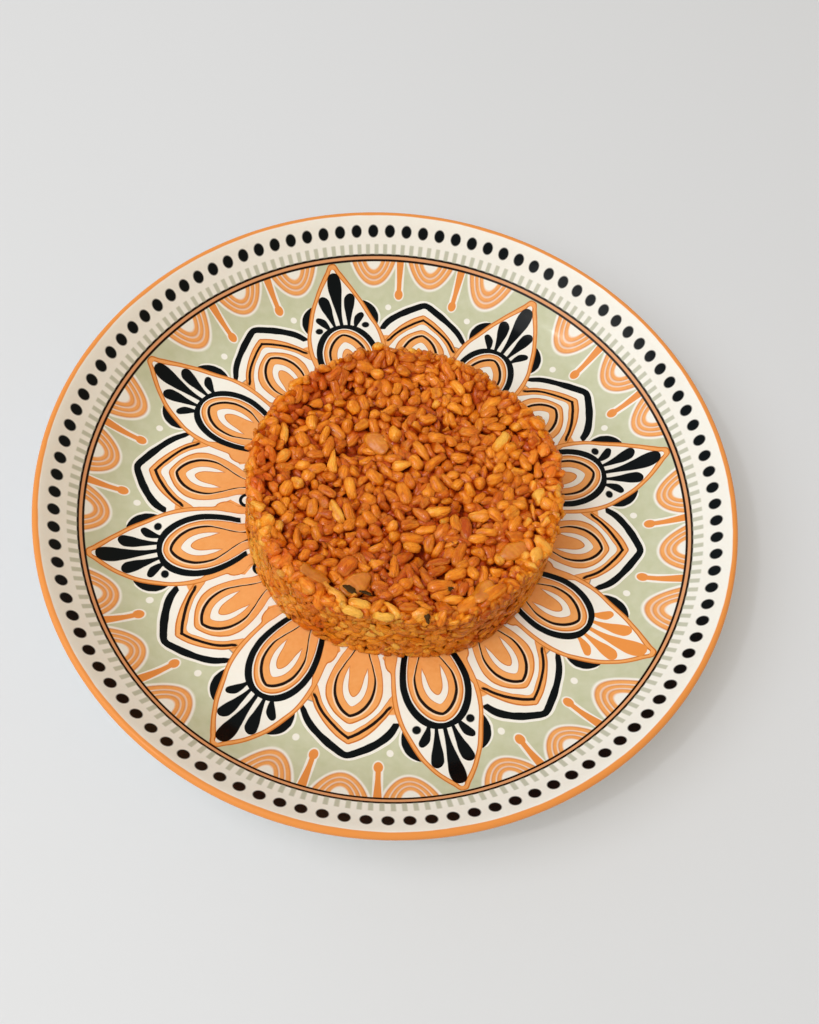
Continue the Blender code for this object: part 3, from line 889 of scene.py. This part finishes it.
def settle(place, along, length, width, fixed):
    """Pushes overlapping grains apart along the outline, each as three balls on its long axis."""
    half = np.maximum(length - width, 0.4 * MM) / 2
    ends = np.array([-1.0, 0.0, 1.0])
    free = (~fixed).astype(float)[:, None]
    for step in range(SETTLE_ROUNDS):
        if step % PAIRING_ROUNDS == 0:
            first, second = near_pairs(place)
        balls = place[:, None, :] + along[:, None, :] * (half[:, None] * ends)[:, :, None]
        gap = balls[first][:, :, None, :] - balls[second][:, None, :, :]
        distance = np.linalg.norm(gap, axis=-1) + 1e-7
        wanted = CLOSENESS * (width[first] + width[second]) / 2
        overlap = np.maximum(wanted[:, None, None] - distance, 0)
        push = gap * (overlap / distance)[..., None]
        force = np.zeros(balls.shape)
        np.add.at(force, first, push.sum(axis=2))
        np.add.at(force, second, -push.sum(axis=1))
        place = place + free * force.sum(axis=1) * YIELDING
        twist = (force[:, 2] - force[:, 0]) / (2 * half[:, None] + MM)
        along = along + free * twist * YIELDING
        azimuth, way = to_skin(place)
        place = np.where(fixed[:, None], place, skin(azimuth, way))
        along = square_to(skin_normal(azimuth, way), along)
    return place, along


def flat_direction(azimuth, way, turn):
    """A direction along the outline, turned from level by an angle."""
    normal = skin_normal(azimuth, way)
    level = square_to(normal, np.stack([-np.sin(azimuth), np.cos(azimuth), 0 * azimuth], axis=-1))
    up = np.cross(normal, level)
    return level * np.cos(turn)[:, None] + up * np.sin(turn)[:, None]


# Grain shapes


def kernel_shape(draw, sides, rings, crease, cuts):
    """Corners, faces, crease marks and own coordinates of one cooked grain, one unit long, wide and deep."""
    bend = draw.uniform(-0.10, 0.10)
    blunt = draw.uniform(2.8, 4.2)
    taper = draw.uniform(-0.16, 0.16)
    phase = [draw.uniform(0, 2 * math.pi) for _ in range(5)]
    corners, marks, own = [(-0.5, 0.0, 0.0)], [0.0], [(-1.0, 0.0, 0.0)]
    for k in range(rings):
        t = -math.cos(math.pi * (k + 1) / (rings + 1))
        girth = (1 - abs(t) ** blunt) ** 0.5 * (1 + taper * t)
        for j in range(sides):
            turn = 2 * math.pi * j / sides
            swell = 1 + 0.07 * math.sin(2 * turn + phase[0] + 1.2 * t)
            swell += 0.05 * math.sin(3 * turn + phase[1] + 2.5 * t)
            swell += 0.05 * math.sin(phase[2] + 3 * t) * math.cos(turn + phase[3]) + draw.uniform(-0.04, 0.04)
            hollow = crease * (1 - t * t) if j == 0 else 0.0
            reach = 0.5 * girth * swell * (1 - hollow)
            y = reach * math.sin(turn) + bend * (t * t - 0.4)
            z = reach * math.cos(turn) + 0.05 * math.sin(2 * t + phase[4])
            corners.append((0.5 * t + draw.uniform(-0.02, 0.02), y, z))
            marks.append(1.0 if j == 0 and crease > 0.08 else 0.0)
            own.append((t, 2 * math.cos(turn), 2 * math.sin(turn)))
    shape = np.array([*corners, (0.5, 0.0, 0.0)])
    for _ in range(cuts):
        lengthwise = draw.choice((-1, 1)) * draw.uniform(0.5, 1)
        tip = Vector((lengthwise, draw.uniform(-1, 1), draw.uniform(-0.7, 0.7)))
        plane = np.array(tip.normalized())
        beyond = shape @ plane - draw.uniform(0.16, 0.32)
        shape = shape - np.maximum(beyond, 0)[:, None] * plane
    shape = shape - (shape.max(axis=0) + shape.min(axis=0)) / 2
    shape = shape / (shape.max(axis=0) - shape.min(axis=0))
    return shape, ring_faces(sides, rings, flipped=True), [*marks, 0.0], [*own, (1.0, 0.0, 0.0)]


def grain_collection(name, sides, rings, kinds):
    """A collection of grain shapes, one object each, in the order given."""
    draw = random.Random(SEED + len(kinds))
    shapes = bpy.data.collections.new(name)
    for number, (crease, cuts) in enumerate(kinds):
        corners, faces, marks, own = kernel_shape(draw, sides, rings, crease, cuts)
        mesh = mesh_from(f"{name}_{number:02d}", corners, faces)
        mark(mesh, "crease", marks)
        mark(mesh, "own", own, "FLOAT_VECTOR")
        shapes.objects.link(bpy.data.objects.new(mesh.name, mesh))
    return shapes


def scatter_tree():
    """Geometry Nodes: at each point an instance of one shape, with the point's own turn and size."""
    tree = bpy.data.node_groups.new("grains on points", "GeometryNodeTree")
    inputs = {"Points": "Geometry", "Grain shapes": "Collection", "Finish": "Material", "Swelling": "Float"}
    for name, kind in inputs.items():
        tree.interface.new_socket(name, in_out="INPUT", socket_type=f"NodeSocket{kind}")
    tree.interface.new_socket("Grains", in_out="OUTPUT", socket_type="NodeSocketGeometry")

    def add(kind, sockets, **settings):
        return add_node(tree, kind, settings, sockets).outputs

    def read(key):
        named = add("GeometryNodeInputNamedAttribute", {"Name": key}, data_type=GRAIN_MARKS[key])
        return named["Attribute"]

    given = add("NodeGroupInput", {})
    chosen = {"Collection": given["Grain shapes"], "Separate Children": True, "Reset Children": True}
    shapes = add("GeometryNodeCollectionInfo", chosen)
    rotation = add("FunctionNodeEulerToRotation", {0: read("turn")})
    swollen = add("ShaderNodeVectorMath", {0: read("size"), "Scale": given["Swelling"]}, operation="SCALE")
    laying = {
        "Points": given["Points"],
        "Instance": shapes["Instances"],
        "Pick Instance": True,
        "Instance Index": read("shape"),
        "Rotation": rotation[0],
        "Scale": swollen["Vector"],
    }
    laid = add("GeometryNodeInstanceOnPoints", laying)
    real = add("GeometryNodeRealizeInstances", {"Geometry": laid["Instances"]})
    finished = add("GeometryNodeSetMaterial", {"Geometry": real["Geometry"], "Material": given["Finish"]})
    add("NodeGroupOutput", {"Grains": finished["Geometry"]})
    return tree


def scatter(name, tree, shapes, grains, material, swelling=1.0):
    """One piece made of all the grains, from a list of dictionaries of place, turn, size, shape and marks."""
    mesh = mesh_from(name, [grain["place"] for grain in grains], [])
    for key, kind in GRAIN_MARKS.items():
        mark(mesh, key, [grain[key] for grain in grains], kind)
    piece = in_scene(name, mesh)
    nodes = piece.modifiers.new("grains", "NODES")
    nodes.node_group = tree
    given = {"Grain shapes": shapes, "Finish": material, "Swelling": swelling}
    for item in tree.interface.items_tree:
        if item.name in given:
            nodes[item.identifier] = given[item.name]
    return applied(piece)


def nearness(spots, x, y):
    """Sum of soft spots, each given by x, y, radius and strength, at a place in millimetres."""
    return sum(
        strength * math.exp(-((x - spot_x) ** 2 + (y - spot_y) ** 2) / size**2)
        for spot_x, spot_y, size, strength in spots
    )


def grain_record(place, along, normal, size, roll, tilt, sink, tone, shape):
    """One grain as scatter needs it. Place is on the outline, from the middle of the cake's base."""
    axis = Vector(along)
    out = Vector(normal)
    basis = Matrix((axis, out.cross(axis).normalized(), out)).transposed()
    turn = basis @ Matrix.Rotation(tilt, 3, "Y") @ Matrix.Rotation(roll, 3, "X")
    spot = Vector(place) - out * sink
    x, y = spot.x / MM, spot.y / MM
    middle = tuple(CAKE_BASE + spot)
    return {
        "place": middle,
        "middle": middle,
        "out": tuple(out / (size[2] / 2)),
        "turn": tuple(turn.to_euler()),
        "size": tuple(size),
        "shape": shape,
        # The tone takes in painted light and shade.
        "tone": tone + nearness(PAINTED_LIGHT_AND_SHADE, x, y),
        # The oil mark takes in a painted glow of light through the edge grains.
        "oil": min(nearness(OIL_AND_EDGE_GLOW, x, y), 1.0),
        "seed": (spot.x * 7919 + spot.y * 6271 + spot.z * 4733) % 1.0,
    }


def settled(draw, azimuth, way):
    """Place and shape of the outer grains: some where they are in the dish, the rest packed round them."""
    spots = [Vector((x, y, 0)) * MM for x, y, *_ in STANDING_OUT + HOLES]
    for around, far, *_ in ONION:
        spots.append(Matrix.Rotation(math.radians(around), 3, "Z") @ Vector((far, 0, 0)) * MM)
    heights = [float(top_height(math.atan2(spot.y, spot.x), spot.length)) for spot in spots]
    marked = np.array([(spot.x, spot.y, height) for spot, height in zip(spots, heights)])
    loose = skin(azimuth, way)
    away = np.linalg.norm(loose[:, None, :] - marked[None, :, :], axis=-1).min(axis=1)
    clear = away > CLEAR_OF_MARKED
    azimuth, way, loose = azimuth[clear], way[clear], loose[clear]
    sizes = [(grain[3], grain[4]) for grain in STANDING_OUT] + [(hole[2], hole[2]) for hole in HOLES]
    sizes += [(length - 2.5, width - 2.5) for *_, length, width in ONION]
    turn = []
    for share in way:
        on_top = share > SIDE_TOP
        long = draw.gauss(*(TOP_LENGTH if on_top else SIDE_LENGTH))
        wide = draw.gauss(*(TOP_WIDTH if on_top else SIDE_WIDTH))
        sizes.append((clamp(long, 3.4, 9.2), min(clamp(wide, 2.4, 5.2), long * 0.88)))
        turn.append(draw.uniform(-math.pi, math.pi))
    along = flat_direction(azimuth, way, np.array(turn))
    turns = [math.radians(grain[2]) for grain in STANDING_OUT] + [0.0] * len(HOLES)
    turns += [math.radians(around + 90 + turn) for around, _, turn, _, _ in ONION]
    heading = np.array([(math.cos(turn), math.sin(turn), 0.0) for turn in turns])
    along = np.concatenate([square_to(skin_normal(*to_skin(marked)), heading), along])
    place = np.concatenate([marked, loose])
    length, width = np.array(sizes).T * MM
    place, along = settle(place, along, length, width, np.arange(len(place)) < len(marked))
    return place, along, length, width


def heap(x, y):
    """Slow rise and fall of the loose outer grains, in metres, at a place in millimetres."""
    swell = 0.30 * math.sin(0.61 * x + 1.3) * math.sin(0.53 * y + 0.4) + 0.25 * math.sin(0.33 * x - 0.47 * y)
    return swell * MM


def outer_grains():
    """The grains that show on the top and on the side."""
    draw = random.Random(SEED)
    place, along, length, width = settled(draw, *spiral(TOP_GRAINS, SIDE_GRAINS))
    azimuth, way = to_skin(place)
    normal = skin_normal(azimuth, way)
    top, side = [], []
    first_loose = len(STANDING_OUT) + len(HOLES) + len(ONION)
    for k in [*range(len(STANDING_OUT)), *range(first_loose, len(place))]:
        showy = k < len(STANDING_OUT)
        on_side = way[k] < SIDE_TOP
        depth = width[k] * draw.uniform(0.72, 1.0)
        roll = draw.gauss(0, 0.5) + (math.pi if draw.random() < 0.4 else 0.0)
        tilt = draw.gauss(0, 0.10 if showy else 0.36)
        if showy:
            lift = 0.7 * MM
            tone = STANDING_OUT[k][5] * 1.6 - 0.76
        else:
            lift = draw.gauss(heap(place[k][0] / MM, place[k][1] / MM), 0.0006 if on_side else 0.0007)
            tone = clamp(draw.gauss(*(SIDE_TONE if on_side else TOP_TONE)), 0.1, 1.0)
        whole = showy or length[k] > 4.4 * MM and draw.random() < 0.66
        shape = draw.randrange(WHOLE_SHAPES) if whole else draw.randrange(WHOLE_SHAPES, ALL_SHAPES)
        size = (length[k], width[k], depth)
        record = grain_record(place[k], along[k], normal[k], size, roll, tilt, depth / 2 - lift, tone, shape)
        (side if on_side else top).append(record)
    return top, side


def turned_at_random(draw, azimuth, way):
    """Place, direction and normal of grains at points of the outline, and whether each is on the side."""
    turn = np.array([draw.uniform(-math.pi, math.pi) for _ in way])
    along = flat_direction(azimuth, way, turn)
    return zip(skin(azimuth, way), along, skin_normal(azimuth, way), way < SIDE_TOP)


def inner_grains():
    """A second layer of grains under the first, seen through its gaps."""
    draw = random.Random(SEED + 1)
    azimuth, way = spiral(INNER_GRAINS * 4 // 9, INNER_GRAINS * 5 // 9)
    layer = []
    for place, along, normal, on_side in turned_at_random(draw, azimuth + 1.7, way):
        width = clamp(draw.gauss(*INNER_WIDTH), 3.2, 5.2) * MM
        size = (width * draw.uniform(1.3, 1.9), width, width * 0.8)
        sink = (0.0 if on_side else INNER_DEPTH) + size[2] / 2 + draw.gauss(0, 0.0005)
        tone = clamp(draw.gauss(*INNER_TONE), 0.0, 0.8)
        roll, tilt, shape = draw.uniform(0, 6.28), draw.gauss(0, 0.4), draw.randrange(ALL_SHAPES)
        if any(math.hypot(place[0] / MM - x, place[1] / MM - y) < gap / 2 + 1.2 for x, y, gap in HOLES):
            sink += HOLE_DEPTH
        layer.append(grain_record(place, along, normal, size, roll, tilt, sink, tone, shape))
    return layer


def crumbs():
    """Small broken bits in the gaps, with thin flakes of bran among those on the side."""
    draw = random.Random(SEED + 2)
    azimuth, way = spiral(CRUMBS * 3 // 10, CRUMBS * 7 // 10)
    azimuth = azimuth + np.array([draw.gauss(0, 0.08) for _ in way])
    layer = []
    for k, (place, along, normal, on_side) in enumerate(turned_at_random(draw, azimuth, way)):
        length = draw.uniform(*CRUMB_LENGTH) * MM
        size = (length, length * draw.uniform(0.6, 0.9), length * draw.uniform(0.5, 0.75))
        sink = draw.uniform(0.0006, 0.0028)
        tone = clamp(draw.gauss(*CRUMB_TONE), 0.1, 0.9)
        shape = draw.randrange(BIT_SHAPES)
        roll, tilt = draw.uniform(0, 6.28), draw.gauss(0, 0.4)
        # Flakes of bran, paler in part as painted glints.
        if on_side and k % FLAKE_EVERY == 0:
            size = (length * 1.3, length * draw.uniform(0.5, 0.8), length * 0.22)
            sink, tone = draw.uniform(-0.0003, 0.0006), draw.uniform(*FLAKE_TONE)
            roll, tilt = draw.gauss(0, 0.7), draw.gauss(0, 0.5)
        layer.append(grain_record(place, along, normal, size, roll, tilt, sink, tone, shape))
    return layer


def press_to_mould(piece):
    """Flattens what stands out past the mould's wall and makes each grain a little uneven.

    It gives back where each corner lies on the cake's outline, unrolled, and how deep, in millimetres.
    """
    mesh = piece.data
    corners = rows_of(mesh.vertices, "co").astype(float)
    x, y, z = (corners / MM).T
    for axis, (p, q, r) in enumerate(((y, z, x), (z, x, y), (x, y, z))):
        a, b, c, d, e, f, g, h, i, j, k = UNEVENNESS[axis]
        lump = np.sin(a * p + b) * np.sin(c * q + d) + 0.6 * np.sin(e * q + f * r)
        crease = np.sin(g * p + h * q + i) * np.sin(j * r - k * q)
        corners[:, axis] += (lump * 0.15 + crease * 0.14) * MM
    x, y, height = (corners - CAKE_BASE).T
    azimuth = np.arctan2(y, x)
    radius = np.hypot(x, y)
    wall = side_radius(azimuth, np.clip(height / CAKE_HEIGHT, 0, 1)) - 0.4 * MM
    over = np.maximum(radius - wall, 0)
    low = np.clip((CAKE_HEIGHT - 2 * MM - height) / (6 * MM), 0, 1)
    pressed = radius - over * PRESSING * low
    floor = -PLATE_GAP / 2
    lowest = np.where(height < floor, floor + 0.02 * (floor - height), height)
    corners = CAKE_BASE + np.stack([pressed * np.cos(azimuth), pressed * np.sin(azimuth), lowest], axis=1)
    mesh.vertices.foreach_set("co", corners.astype(np.float32).ravel())
    below_top = top_height(azimuth, np.minimum(pressed, TOP_RADIUS - EDGE_ROUND)) - height
    depth = np.minimum(below_top, wall - pressed) / MM
    middle, out = (rows_of(mesh.attributes[key].data, "vector") for key in ("middle", "out"))
    mark(mesh, "depth", depth)
    mark(mesh, "crown", ((corners - middle) * out).sum(axis=1))
    for key in ("out", "middle"):
        mesh.attributes.remove(mesh.attributes[key])
    mesh.update()
    on_side = wall - pressed < below_top
    around = np.where(on_side, SIDE_OFFSET + azimuth * SIDE_UNROLLED, x / MM)
    up = np.where(on_side, height / MM, y / MM)
    return np.stack([around, up, depth])


def mark_hollows(pieces):
    """Marks how far each corner lies below the grains around it, where the bulgur's finish paints shade into
    the gaps.
    """
    unrolled = [press_to_mould(piece) for piece in pieces]
    corner = np.min([outline[:2].min(axis=1) for outline in unrolled], axis=0)
    cells = [((outline[:2].T - corner) / 0.5).astype(int).T for outline in unrolled]
    level = np.full(np.max([cell.max(axis=1) for cell in cells], axis=0) + 1, 3.0)
    for cell, outline in zip(cells, unrolled):
        np.minimum.at(level, tuple(cell), outline[2])
    level = np.min([np.roll(level, step, axis) for step in (-1, 0, 1) for axis in (0, 1)], axis=0)
    for axis in (0, 1):
        level = sum(np.roll(level, step, axis) for step in range(-3, 4)) / 7
    for piece, cell, outline in zip(pieces, cells, unrolled):
        on_side = outline[0] > CAKE_REACH
        mark(piece.data, "hollow", (outline[2] - level[tuple(cell)]) * np.where(on_side, 0.4, 1.0))


def core_piece(material):
    """The dark mass under the grains, dark as painted shade where it shows through the gaps."""
    ways = np.concatenate([np.linspace(0, 1, 12), np.linspace(1, 2, 5)[1:], np.linspace(2, 2.97, 26)[1:]])
    azimuth = 2 * math.pi * np.arange(CORE_SIDES) / CORE_SIDES
    rings = []
    for way in ways:
        lump = 0.0005 * np.sin(azimuth * 41 + way * 29) * np.sin(azimuth * 17 - way * 37)
        way = np.full(CORE_SIDES, way)
        points = skin(azimuth, way) - skin_normal(azimuth, way) * (CORE_DEPTH + lump)[:, None]
        points[:, 2] = np.maximum(points[:, 2], 0.0)
        rings.append(points)
    corners = CAKE_BASE + np.concatenate([*rings, [rings[-1].mean(axis=0)]])
    faces = ring_faces(CORE_SIDES, len(ways), first=0, flipped=True)
    faces.append(tuple(reversed(range(CORE_SIDES))))
    return piece_from("pilaf_core", corners, faces, material)


def cooked_bulgur():
    """Golden-orange cooked grain, streaked along its length and red where oil shows, with painted shade,
    darker and redder, in the gaps between grains and a painted glow on their edges.
    """
    finish = Finish("cooked bulgur", specular_ior_level=0.08, coat_roughness=0.12, subsurface_weight=0.12,
                    subsurface_scale=0.0008, subsurface_radius=(1.0, 0.95, 0.9))
    place = finish.place()
    depth, hollow, crown, seed = (finish.attribute(name) for name in ("depth", "hollow", "crown", "seed"))
    apart = finish.node("ShaderNodeCombineXYZ", {}, {0: seed * 90, 1: seed * 37, 2: seed * 53})
    own = finish.attribute("own", "Vector")
    lie = finish.node("ShaderNodeVectorMath", {"operation": "ADD"}, {0: own, 1: apart})
    streak = finish.noise(lie, 1 / 1.3, 3.0, 0.6)
    drawn = finish.node("ShaderNodeVectorMath", {"operation": "MULTIPLY"}, {0: lie, 1: (0.45, 1.0, 1.0)})
    ridge = finish.noise(drawn, 1 / 2.6)
    mottle = finish.noise(place, 0.0022, 3.0, 0.6)
    patch = finish.noise(place, 0.012)
    # Tone with streaks and ridges, and painted shade that darkens corners lying below the grains around them.
    shade = finish.attribute("tone") + (mottle - 0.5) * 0.40 + (patch - 0.5) * 0.25
    shade = shade + (streak - 0.5) * 0.50 + (ridge - 0.5) * 0.60 - hollow * 0.24 - 0.10
    colour = finish.ramp(shade.share(), (0.0, "BA4800"), (0.3, "D26406"), (0.55, "EA8210"), (0.8, "FF9F28"),
                         (1.0, "FFBC4C"))
    # Painted highlight: a pale ring round each grain's crown, for light glowing through its edges.
    painted_edge_glow = (1 - abs(crown - 0.62) / 0.3).share()
    # Painted shade: darker red where a corner lies below the grains around it.
    painted_gap_shade = ((hollow - 0.1) / 0.9).share()
    # Painted shade: darker red the deeper a corner lies under the cake's outline.
    painted_depth_shade = ((depth - 1.2) / 2.4).share()
    # Red oil with a painted glow through the edge grains, a darker line in the crease, then painted glow and
    # shade.
    layers = ((finish.attribute("oil"), 0.75, "E44C06"), (finish.attribute("crease"), 0.35, "A84600"),
              (painted_edge_glow, 0.22, "FFC860"), (painted_gap_shade, 0.8, "B03800"), (painted_depth_shade, 0.6, "962800"))
    for share, strength, tint in layers:
        colour = finish.mix(share * strength, colour, tint)
    height = finish.noise(place, 0.0007, 3.0) * 0.5 + mottle * 0.8 + streak * 0.8 + ridge * 0.9
    wet = ((crown - 0.5) / 0.4).share() * 0.5
    return finish.wear(base_color=colour, roughness=0.2 + mottle * 0.2, coat_weight=wet,
                       normal=finish.bump(height, 0.00060))


def dark_mass():
    """Oil-soaked mash between the grains, painted dark red for the shade seen in the gaps."""
    finish = Finish("oily mash", specular_ior_level=0.15, subsurface_weight=0.3, subsurface_scale=0.0015,
                    subsurface_radius=(1.0, 0.6, 0.3))
    mottle = finish.noise(finish.place(), 0.0024, 4.0, 0.6)
    colour = finish.ramp(mottle, (0.3, "8A2000"), (0.55, "A83800"), (0.8, "C86008"))
    return finish.wear(base_color=colour, roughness=0.3 + mottle * 0.2, normal=finish.bump(mottle, 0.0012))


def onion_skin():
    """Thin, soft, see-through onion stained by the tomato."""
    finish = Finish("stained onion", coat_weight=0.3, coat_roughness=0.15, subsurface_weight=0.4,
                    subsurface_scale=0.002, subsurface_radius=(1.0, 0.45, 0.15))
    place = finish.place()
    mottle = finish.noise(place, 0.003, 3.0)
    veins = {"Vector": place, "Scale": 240.0, "Distortion": 3.0, "Detail": 2.0}
    vein = finish.node("ShaderNodeTexWave", {"bands_direction": "DIAGONAL"}, veins, 1)
    colour = finish.ramp(mottle, (0.25, "C06806"), (0.55, "D88014"), (0.85, "EC9E2C"))
    colour = finish.mix(vein * 0.12, colour, "B85A06")
    return finish.wear(base_color=colour, roughness=0.28 + mottle * 0.2, normal=finish.bump(vein, 0.00005))


def cooked_herb():
    """Olive brown, soft and wet."""
    finish = Finish("cooked herb", specular_ior_level=0.15)
    mottle = finish.noise(finish.place(), 0.0012, 3.0)
    colour = finish.ramp(mottle, (0.3, "2A1A02"), (0.7, "50340A"))
    return finish.wear(base_color=colour, roughness=0.4 + mottle * 0.2, normal=finish.bump(mottle, 0.0003))


def leaf_piece(name, items, thickness, lift, rough, material):
    """Thin curved ovals that lie on the cake, from x, y, turn, length and width in metres and radians."""
    draw = random.Random(SEED + 3)
    shares = [(ring + 1) / LEAF_RINGS for ring in range(LEAF_RINGS)]
    path = [(share, 1) for share in shares] + [(share, -1) for share in reversed(shares)]
    corners, faces = [], []
    for x, y, angle, length, width in items:
        place = np.array([[x, y, float(top_height(math.atan2(y, x), math.hypot(x, y)))]])
        out = Vector(skin_normal(*to_skin(place))[0])
        axis = Vector((math.cos(angle), math.sin(angle), 0.0))
        axis = (axis - out * axis.dot(out)).normalized()
        crosswise = out.cross(axis)
        origin = Vector(CAKE_BASE + place[0]) + out * lift
        phase = draw.uniform(0, 6.28)

        def point(share, spin, face):
            ragged = 1 + rough * (math.sin(3 * spin + phase) + 0.6 * math.sin(5 * spin + 2 * phase))
            u = math.cos(spin) * share * ragged * length / 2
            v = math.sin(spin) * share * ragged * width / 2
            curl = 0.10 * (u * u) / length - 0.35 * (v * v) / width
            ripple = 0.3 * MM * math.sin(u / MM * 0.9 + phase) * share
            flat = face * thickness / 2 * math.sqrt(max(1 - share**4, 0.02))
            return origin + axis * u + crosswise * v + out * (curl + ripple + flat)

        base = len(corners)
        corners.append(point(0, 0, 1))
        for share, face in path:
            corners += [point(share, 2 * math.pi * k / LEAF_SIDES, face) for k in range(LEAF_SIDES)]
        corners.append(point(0, 0, -1))
        faces += [tuple(base + k for k in face) for face in ring_faces(LEAF_SIDES, 2 * LEAF_RINGS)]
    return piece_from(name, corners, faces, material)


def onion_places():
    """The pieces of onion as leaf_piece needs them, each turned with its azimuth."""
    for azimuth, radius, turn, length, width in ONION:
        around = math.radians(azimuth)
        x, y = radius * MM * math.cos(around), radius * MM * math.sin(around)
        yield x, y, math.radians(turn) + (around + math.pi / 2), length * MM, width * MM


def herb_places():
    """The flecks of herb as leaf_piece needs them."""
    for x, y, turn, length, width in HERBS:
        yield x * MM, y * MM, math.radians(turn), length * MM, width * MM


def make_pilaf():
    """The cake's pieces: its dark core, two layers of grains, crumbs, onion and herb."""
    bulgur = cooked_bulgur()
    tree = scatter_tree()
    kinds = [(crease, k % 3 // 2) for k, crease in enumerate(CREASES)]
    kinds += [(0.0, 1 + k % 3) for k in range(ALL_SHAPES - WHOLE_SHAPES)]
    grains = grain_collection("bulgur_shape", GRAIN_SIDES, GRAIN_RINGS, kinds)
    broken = [(0.0, 1 + k % 3) for k in range(BIT_SHAPES)]
    bits = grain_collection("bulgur_bit", BIT_SIDES, BIT_RINGS, broken)
    top, side = outer_grains()
    pieces = [core_piece(dark_mass())]
    pieces.append(scatter("pilaf_top_grains", tree, grains, top, bulgur, SWELLING))
    pieces.append(scatter("pilaf_side_grains", tree, grains, side, bulgur, SWELLING))
    pieces.append(scatter("pilaf_inner_grains", tree, grains, inner_grains(), bulgur))
    pieces.append(scatter("pilaf_crumbs", tree, bits, crumbs(), bulgur))
    mark_hollows(pieces[1:])
    pieces.append(leaf_piece("pilaf_onion", onion_places(), *ONION_SHEET, onion_skin()))
    pieces.append(leaf_piece("pilaf_herbs", herb_places(), *HERB_SHEET, cooked_herb()))
    for shapes in (grains, bits):
        for shape in list(shapes.objects):
            bpy.data.objects.remove(shape, do_unlink=True)
        bpy.data.collections.remove(shapes)
    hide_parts("pilaf")
    for piece in pieces:
        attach(piece, "root")


def make_plate():
    plate = turned("dinner_plate", plate_section(), PLATE_SIDES, painted_plate())
    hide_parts("plate")
    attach(plate, "root")


# Floor, light and camera

CAMERA_AT = (0.0, -0.194475, 0.379414)
CAMERA_TILT = math.radians(27.506)
CAMERA_HEADING = math.radians(-2.345)
CAMERA_ROLL = math.radians(9.75)
CAMERA_LENS = 37.893
SENSOR = 36.0
FLOOR_HALF = 3.0

# The sky's strength, its colour from the left to the right, and the stretch over which it changes.
SKY_STRENGTH = 0.64
SKY_LEFT = (0.94, 0.98, 1.0, 1.0)
SKY_RIGHT = (1.0, 0.80, 0.56, 1.0)
SKY_CHANGE = (-0.6, 0.9)

# Lamps that shine on the plate's middle: place, width, power and colour.
LAMPS = {
    "window": ((-0.98, -0.48, 1.56), 1.8, 20.0, (1.0, 0.99, 0.97)),
    "glint": ((-0.90, -0.50, 1.60), 0.10, 3.0, (1.0, 0.98, 0.94)),
}


def make_camera():
    data = bpy.data.cameras.new("camera")
    data.lens = CAMERA_LENS
    data.sensor_width = SENSOR
    data.clip_start = 0.01
    camera = in_scene("camera", data)
    turn = Matrix.Rotation(CAMERA_HEADING, 4, "Z") @ Matrix.Rotation(CAMERA_TILT, 4, "X")
    turn = turn @ Matrix.Rotation(CAMERA_ROLL, 4, "Z")
    camera.matrix_world = Matrix.Translation(CAMERA_AT) @ turn
    bpy.context.scene.camera = camera


def area_light(name, place, size, power, colour):
    data = bpy.data.lights.new(name, "AREA")
    data.shape = "DISK"
    data.size = size
    data.energy = power
    data.color = colour
    aim = -Vector(place)
    turn = aim.to_track_quat("-Z", "Y").to_matrix().to_4x4()
    in_scene(name, data).matrix_world = Matrix.Translation(place) @ turn


def make_stage():
    finish = Finish("pale table")
    place = finish.place()
    colour = finish.mix(finish.noise(place, 0.35), "D9DDE4", "D6DADF")
    table = finish.wear(base_color=colour, roughness=0.55 + finish.noise(place, 0.002) * 0.1)
    corners = [(x * FLOOR_HALF, y * FLOOR_HALF, 0.0) for x, y in ((-1, -1), (1, -1), (1, 1), (-1, 1))]
    floor = piece_from("table_top", corners, [(0, 1, 2, 3)], table)
    world = bpy.data.worlds.new("soft daylight")
    world.use_nodes = True
    tree = world.node_tree
    towards = add_node(tree, "ShaderNodeTexCoord", {}, {}).outputs["Generated"]
    parts = add_node(tree, "ShaderNodeSeparateXYZ", {}, {0: towards})
    change = {"Value": parts.outputs["X"], "From Min": SKY_CHANGE[0], "From Max": SKY_CHANGE[1]}
    blend = add_node(tree, "ShaderNodeMapRange", {}, change).outputs["Result"]
    tint = add_node(tree, "ShaderNodeMix", {"data_type": "RGBA"}, {0: blend, 6: SKY_LEFT, 7: SKY_RIGHT})
    sky = tree.nodes["Background"]
    sky.inputs["Strength"].default_value = SKY_STRENGTH
    tree.links.new(tint.outputs[2], sky.inputs["Color"])
    bpy.context.scene.world = world
    for name, lamp in LAMPS.items():
        area_light(name, *lamp)
    bpy.context.scene.view_settings.view_transform = "Standard"


make_camera()
make_stage()
make_plate()
make_pilaf()
